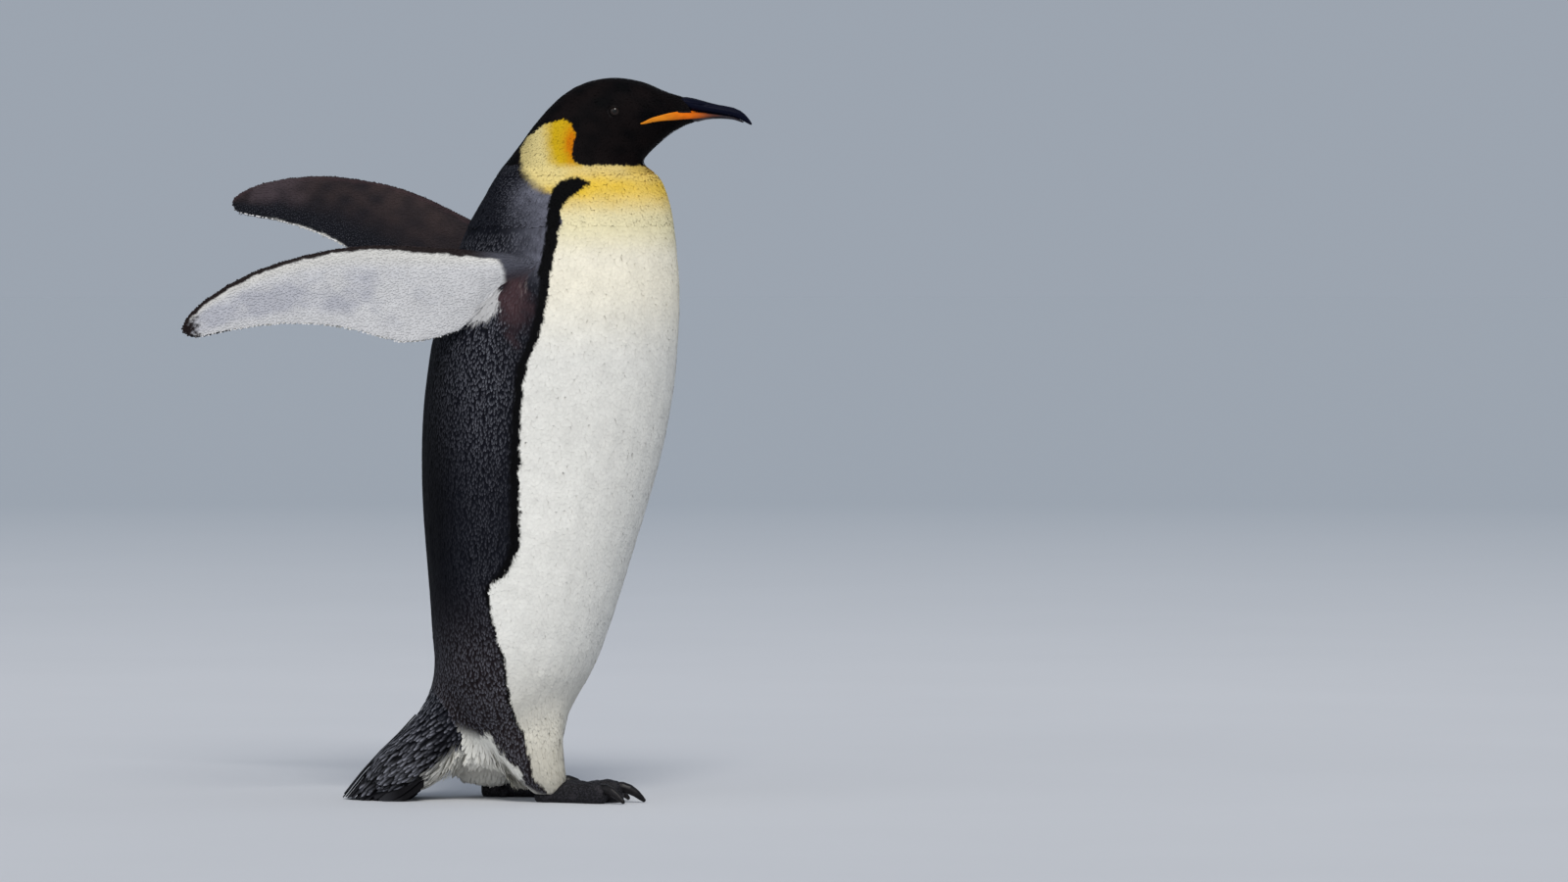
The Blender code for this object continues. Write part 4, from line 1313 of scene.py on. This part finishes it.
def build_plates():
    """A long crowned plate of bright horn on each side of the lower bill."""
    reach = side_reader()
    material = plate_material()
    where = np.linspace(PLATE[0, 0], PLATE[-1, 0], PLATE_STEPS)
    low, high = (
        np.convolve(np.pad(np.interp(where, PLATE[:, 0], edge), 3, "edge"), np.ones(7) / 7, "valid")
        for edge in PLATE.T[1:])
    share = np.arange(PLATE_ROWS) / (PLATE_ROWS - 1)
    height = low[:, None] + (high - low)[:, None] * share
    depth = np.array([[reach(x, z) for z in row] for x, row in zip(where, height)])
    # Where head and bill meet, the plate bridges the narrow gap.
    joint = (where > 0.176) & (where < 0.2125)
    for row in range(PLATE_ROWS):
        depth[joint, row] = np.interp(where[joint], where[~joint], depth[~joint, row])
    for _ in range(4):
        padded = np.pad(depth, ((2, 2), (0, 0)), "edge")
        depth = sum(padded[k:k + PLATE_STEPS] for k in range(5)) / 5
    steps = np.arange(PLATE_STEPS)
    taper = np.minimum(1.0, np.minimum(steps, steps[::-1]) / 6)[:, None]
    crown = np.array([math.sin(math.pi * part) ** 0.6 for part in share])
    lap = PLATE_LAP * ramp(where, 0.204, 0.214)[:, None]
    proud = depth + PLATE_PROUD * (0.25 + crown * taper) - PLATE_SINK + lap
    index = np.arange(2 * height.size).reshape(2, *height.shape)
    rims = [np.concatenate((g[:, 0], g[-1, 1:], g[-2::-1, -1], g[0, -2:0:-1])) for g in index]
    walls = np.stack((rims[0], np.roll(rims[0], -1), np.roll(rims[1], -1), rims[1]), 1)
    for name, side in SIDES:
        points = np.concatenate([
            np.stack((np.broadcast_to(where[:, None], height.shape), side * out, height), -1).reshape(-1, 3)
            for out in (proud, depth - PLATE_BASE)])
        faces = []
        for grid, flip in zip(index, (side > 0, side < 0)):
            quads = np.stack((grid[:-1, :-1], grid[1:, :-1], grid[1:, 1:], grid[:-1, 1:]), -1).reshape(-1, 4)
            faces += (quads[:, ::-1] if flip else quads).tolist()
        plate = add_solid("bill_plate_" + name, points, faces + walls.tolist())
        points = coordinates(plate.data) - SHIFT
        ends = (np.interp(points[:, 0], where, edge) for edge in (low, high))
        store(plate.data.color_attributes, "tint", plate_tint(points, *ends))
        dress(plate, material, "horn_orange")


def build_eyes():
    """Each eye is a glossy ball with a low cornea, ringed by a lid."""
    for name, side in SIDES:
        low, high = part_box("eye_" + name)
        centre = (low + high) / 2
        work = bmesh.new()
        bmesh.ops.create_uvsphere(work, u_segments=48, v_segments=32, radius=EYE_RADIUS)
        for vertex in work.verts:
            vertex.co = Vector((vertex.co.x, vertex.co.z * side, vertex.co.y))
            bulge = max(0.0, vertex.co.y * side / EYE_RADIUS - CORNEA_START) / (1 - CORNEA_START)
            vertex.co.y += side * CORNEA_RISE * bulge * bulge
            vertex.co += centre
        bmesh.ops.recalc_face_normals(work, faces=work.faces)
        eye = add_mesh("eyeball_" + name, work)
        eye.data.shade_smooth()
        dress(eye, eye_material(name), "eye", "eye_" + name)
        build_lid(name, side, centre - ORIGIN)


def build_lid(name, side, centre):
    """A soft dark ring of bare skin, thicker above, with fine folds."""
    points, faces = [], []
    for step in range(LID_SEGMENTS):
        angle = 2 * math.pi * step / LID_SEGMENTS
        cos_a, sin_a = math.cos(angle), math.sin(angle)
        squint = 1 - 0.10 * max(0.0, sin_a)
        inner = 1 / math.hypot(cos_a / LID_OPENING[0], sin_a / (LID_OPENING[1] * squint))
        thick = 0.0010 + 0.0004 * max(0.0, sin_a)
        for part in range(LID_SECTION):
            turn = 2 * math.pi * part / LID_SECTION
            cos_t = math.cos(turn)
            radius = (inner + LID_OUTER) / 2 + (LID_OUTER - inner) / 2 * cos_t
            surface = math.sqrt(max(EYE_RADIUS ** 2 - min(radius, 0.0085) ** 2, 0.0))
            fold = 0.00010 * math.sin(angle * 16 + 2.5 * math.sin(angle * 3)) * (1 + cos_t)
            out = surface + thick * (0.35 + math.sin(turn)) + fold - 0.0016 * max(0.0, cos_t) ** 2
            points.append(centre + Vector((cos_a * radius, side * out, sin_a * radius)))
            base, after = (LID_SECTION * (s % LID_SEGMENTS) for s in (step, step + 1))
            following = (part + 1) % LID_SECTION
            faces.append((base + part, after + part, after + following, base + following))
    lid = add_solid("eyelid_" + name, points, faces)
    dress(lid, horn_material("lid_" + name, (0.0030, 0.0027, 0.0028), (0.0070, 0.0052, 0.0052), 0.6, 0.05),
          "foot_skin")


def build_feet():
    """Fleshy toes with a pebbled skin, and smooth curved claws."""
    skin = foot_material()
    horn = horn_material("claw_horn", (0.0040, 0.0038, 0.0045), (0.014, 0.012, 0.013), 0.36)
    for side, _ in SIDES:
        foot = remeshed("foot_" + side + "_skin", "foot_" + side, 0.0011, 6)
        points = coordinates(foot.data)
        pebble = np.array([noise.voronoi(Vector(p) * 240.0)[0][0] for p in points.tolist()])
        fold = ripple(points * (190.0, 60.0, 60.0), 1.0)
        rise = FOOT_GROWTH + 0.0007 * (0.42 - np.clip(pebble, 0, 0.8)) + 0.0005 * fold
        points += vertex_normals(foot.data) * (rise * ramp(points[:, 2], 0.001, 0.006))[:, None]
        points[:, 2] = np.maximum(points[:, 2], 0.0)
        set_coordinates(foot.data, points)
        dress(foot, skin, "foot_skin", "foot_" + side)
        for toe in ("inner", "middle", "outer"):
            node = f"claw_{side}_{toe}"
            claw = remeshed(node + "_horn", node, 0.0005, 4)
            points = coordinates(claw.data) + vertex_normals(claw.data) * CLAW_GROWTH
            points[:, 2] = np.maximum(points[:, 2], 0.0)
            set_coordinates(claw.data, points)
            dress(claw, horn, "horn_dark", node)


# ---------------------------------------------------------------- stage

def build_stage():
    """A pale floor that darkens to the backdrop's tone far from the bird."""
    bpy.ops.mesh.primitive_circle_add(vertices=96, radius=FLOOR_RADIUS, fill_type="NGON")
    floor = bpy.context.object
    floor.name = "floor"
    paint = Paint("pale_floor", 0.1, 0.80)
    near = paint.blend(paint.noise(1.2, 5.0), (0.56, 0.57, 0.60), (0.60, 0.61, 0.64))
    away = paint.spread(paint.vector("LENGTH", "Value", {0: paint.place()}), FLOOR_NEAR, FLOOR_FAR, 0.0, 1.0)
    paint.put("Base Color", paint.blend(away, near, (0.379, 0.413, 0.458)))
    paint.bump(paint.noise(30.0, 4.0), 0.06, 0.004)
    floor.data.materials.append(paint.material)

    scene = bpy.context.scene
    scene.world = bpy.data.worlds.new("studio")
    scene.world.use_nodes = True
    background = scene.world.node_tree.nodes["Background"]
    background.inputs["Color"].default_value = (0.74, 0.83, 0.96, 1.0)
    background.inputs["Strength"].default_value = 0.45
    add_sun("key", (0.6, -4.2, 4.3), 2.15, 24.0, (1.0, 0.975, 0.93))
    add_sun("fill", (-3.0, -4.5, 0.5), 0.85, 70.0, (0.95, 0.97, 1.0))
    scene.view_settings.view_transform = "Standard"


def add_sun(name, offset, strength, softness, colour):
    """A soft light from far away, so that the whole floor is lit alike."""
    data = bpy.data.lights.new(name, "SUN")
    data.energy = strength
    data.angle = math.radians(softness)
    data.color = colour
    made = add_object(name, data)
    made.location = ORIGIN + Vector(offset)
    made.rotation_euler = Vector(offset).to_track_quat("Z", "Y").to_euler()


def build_camera():
    data = bpy.data.cameras.new("camera")
    made = add_object("camera", data)
    aim = ORIGIN + CAMERA_AIM
    made.location = Vector((aim.x, ORIGIN.y - CAMERA_DISTANCE, CAMERA_HEIGHT))
    away = aim - made.location
    made.rotation_euler = away.to_track_quat("-Z", "Y").to_euler()
    data.sensor_width = SENSOR
    data.lens = SENSOR * away.length / VIEW_WIDTH
    data.clip_end = 200.0
    bpy.context.scene.camera = made


build_camera()
build_stage()
SKIN, SKIN_VALUES = build_skin()
build_bill()
build_plates()
build_eyes()
build_feet()
build_plumage(SKIN, SKIN_VALUES)
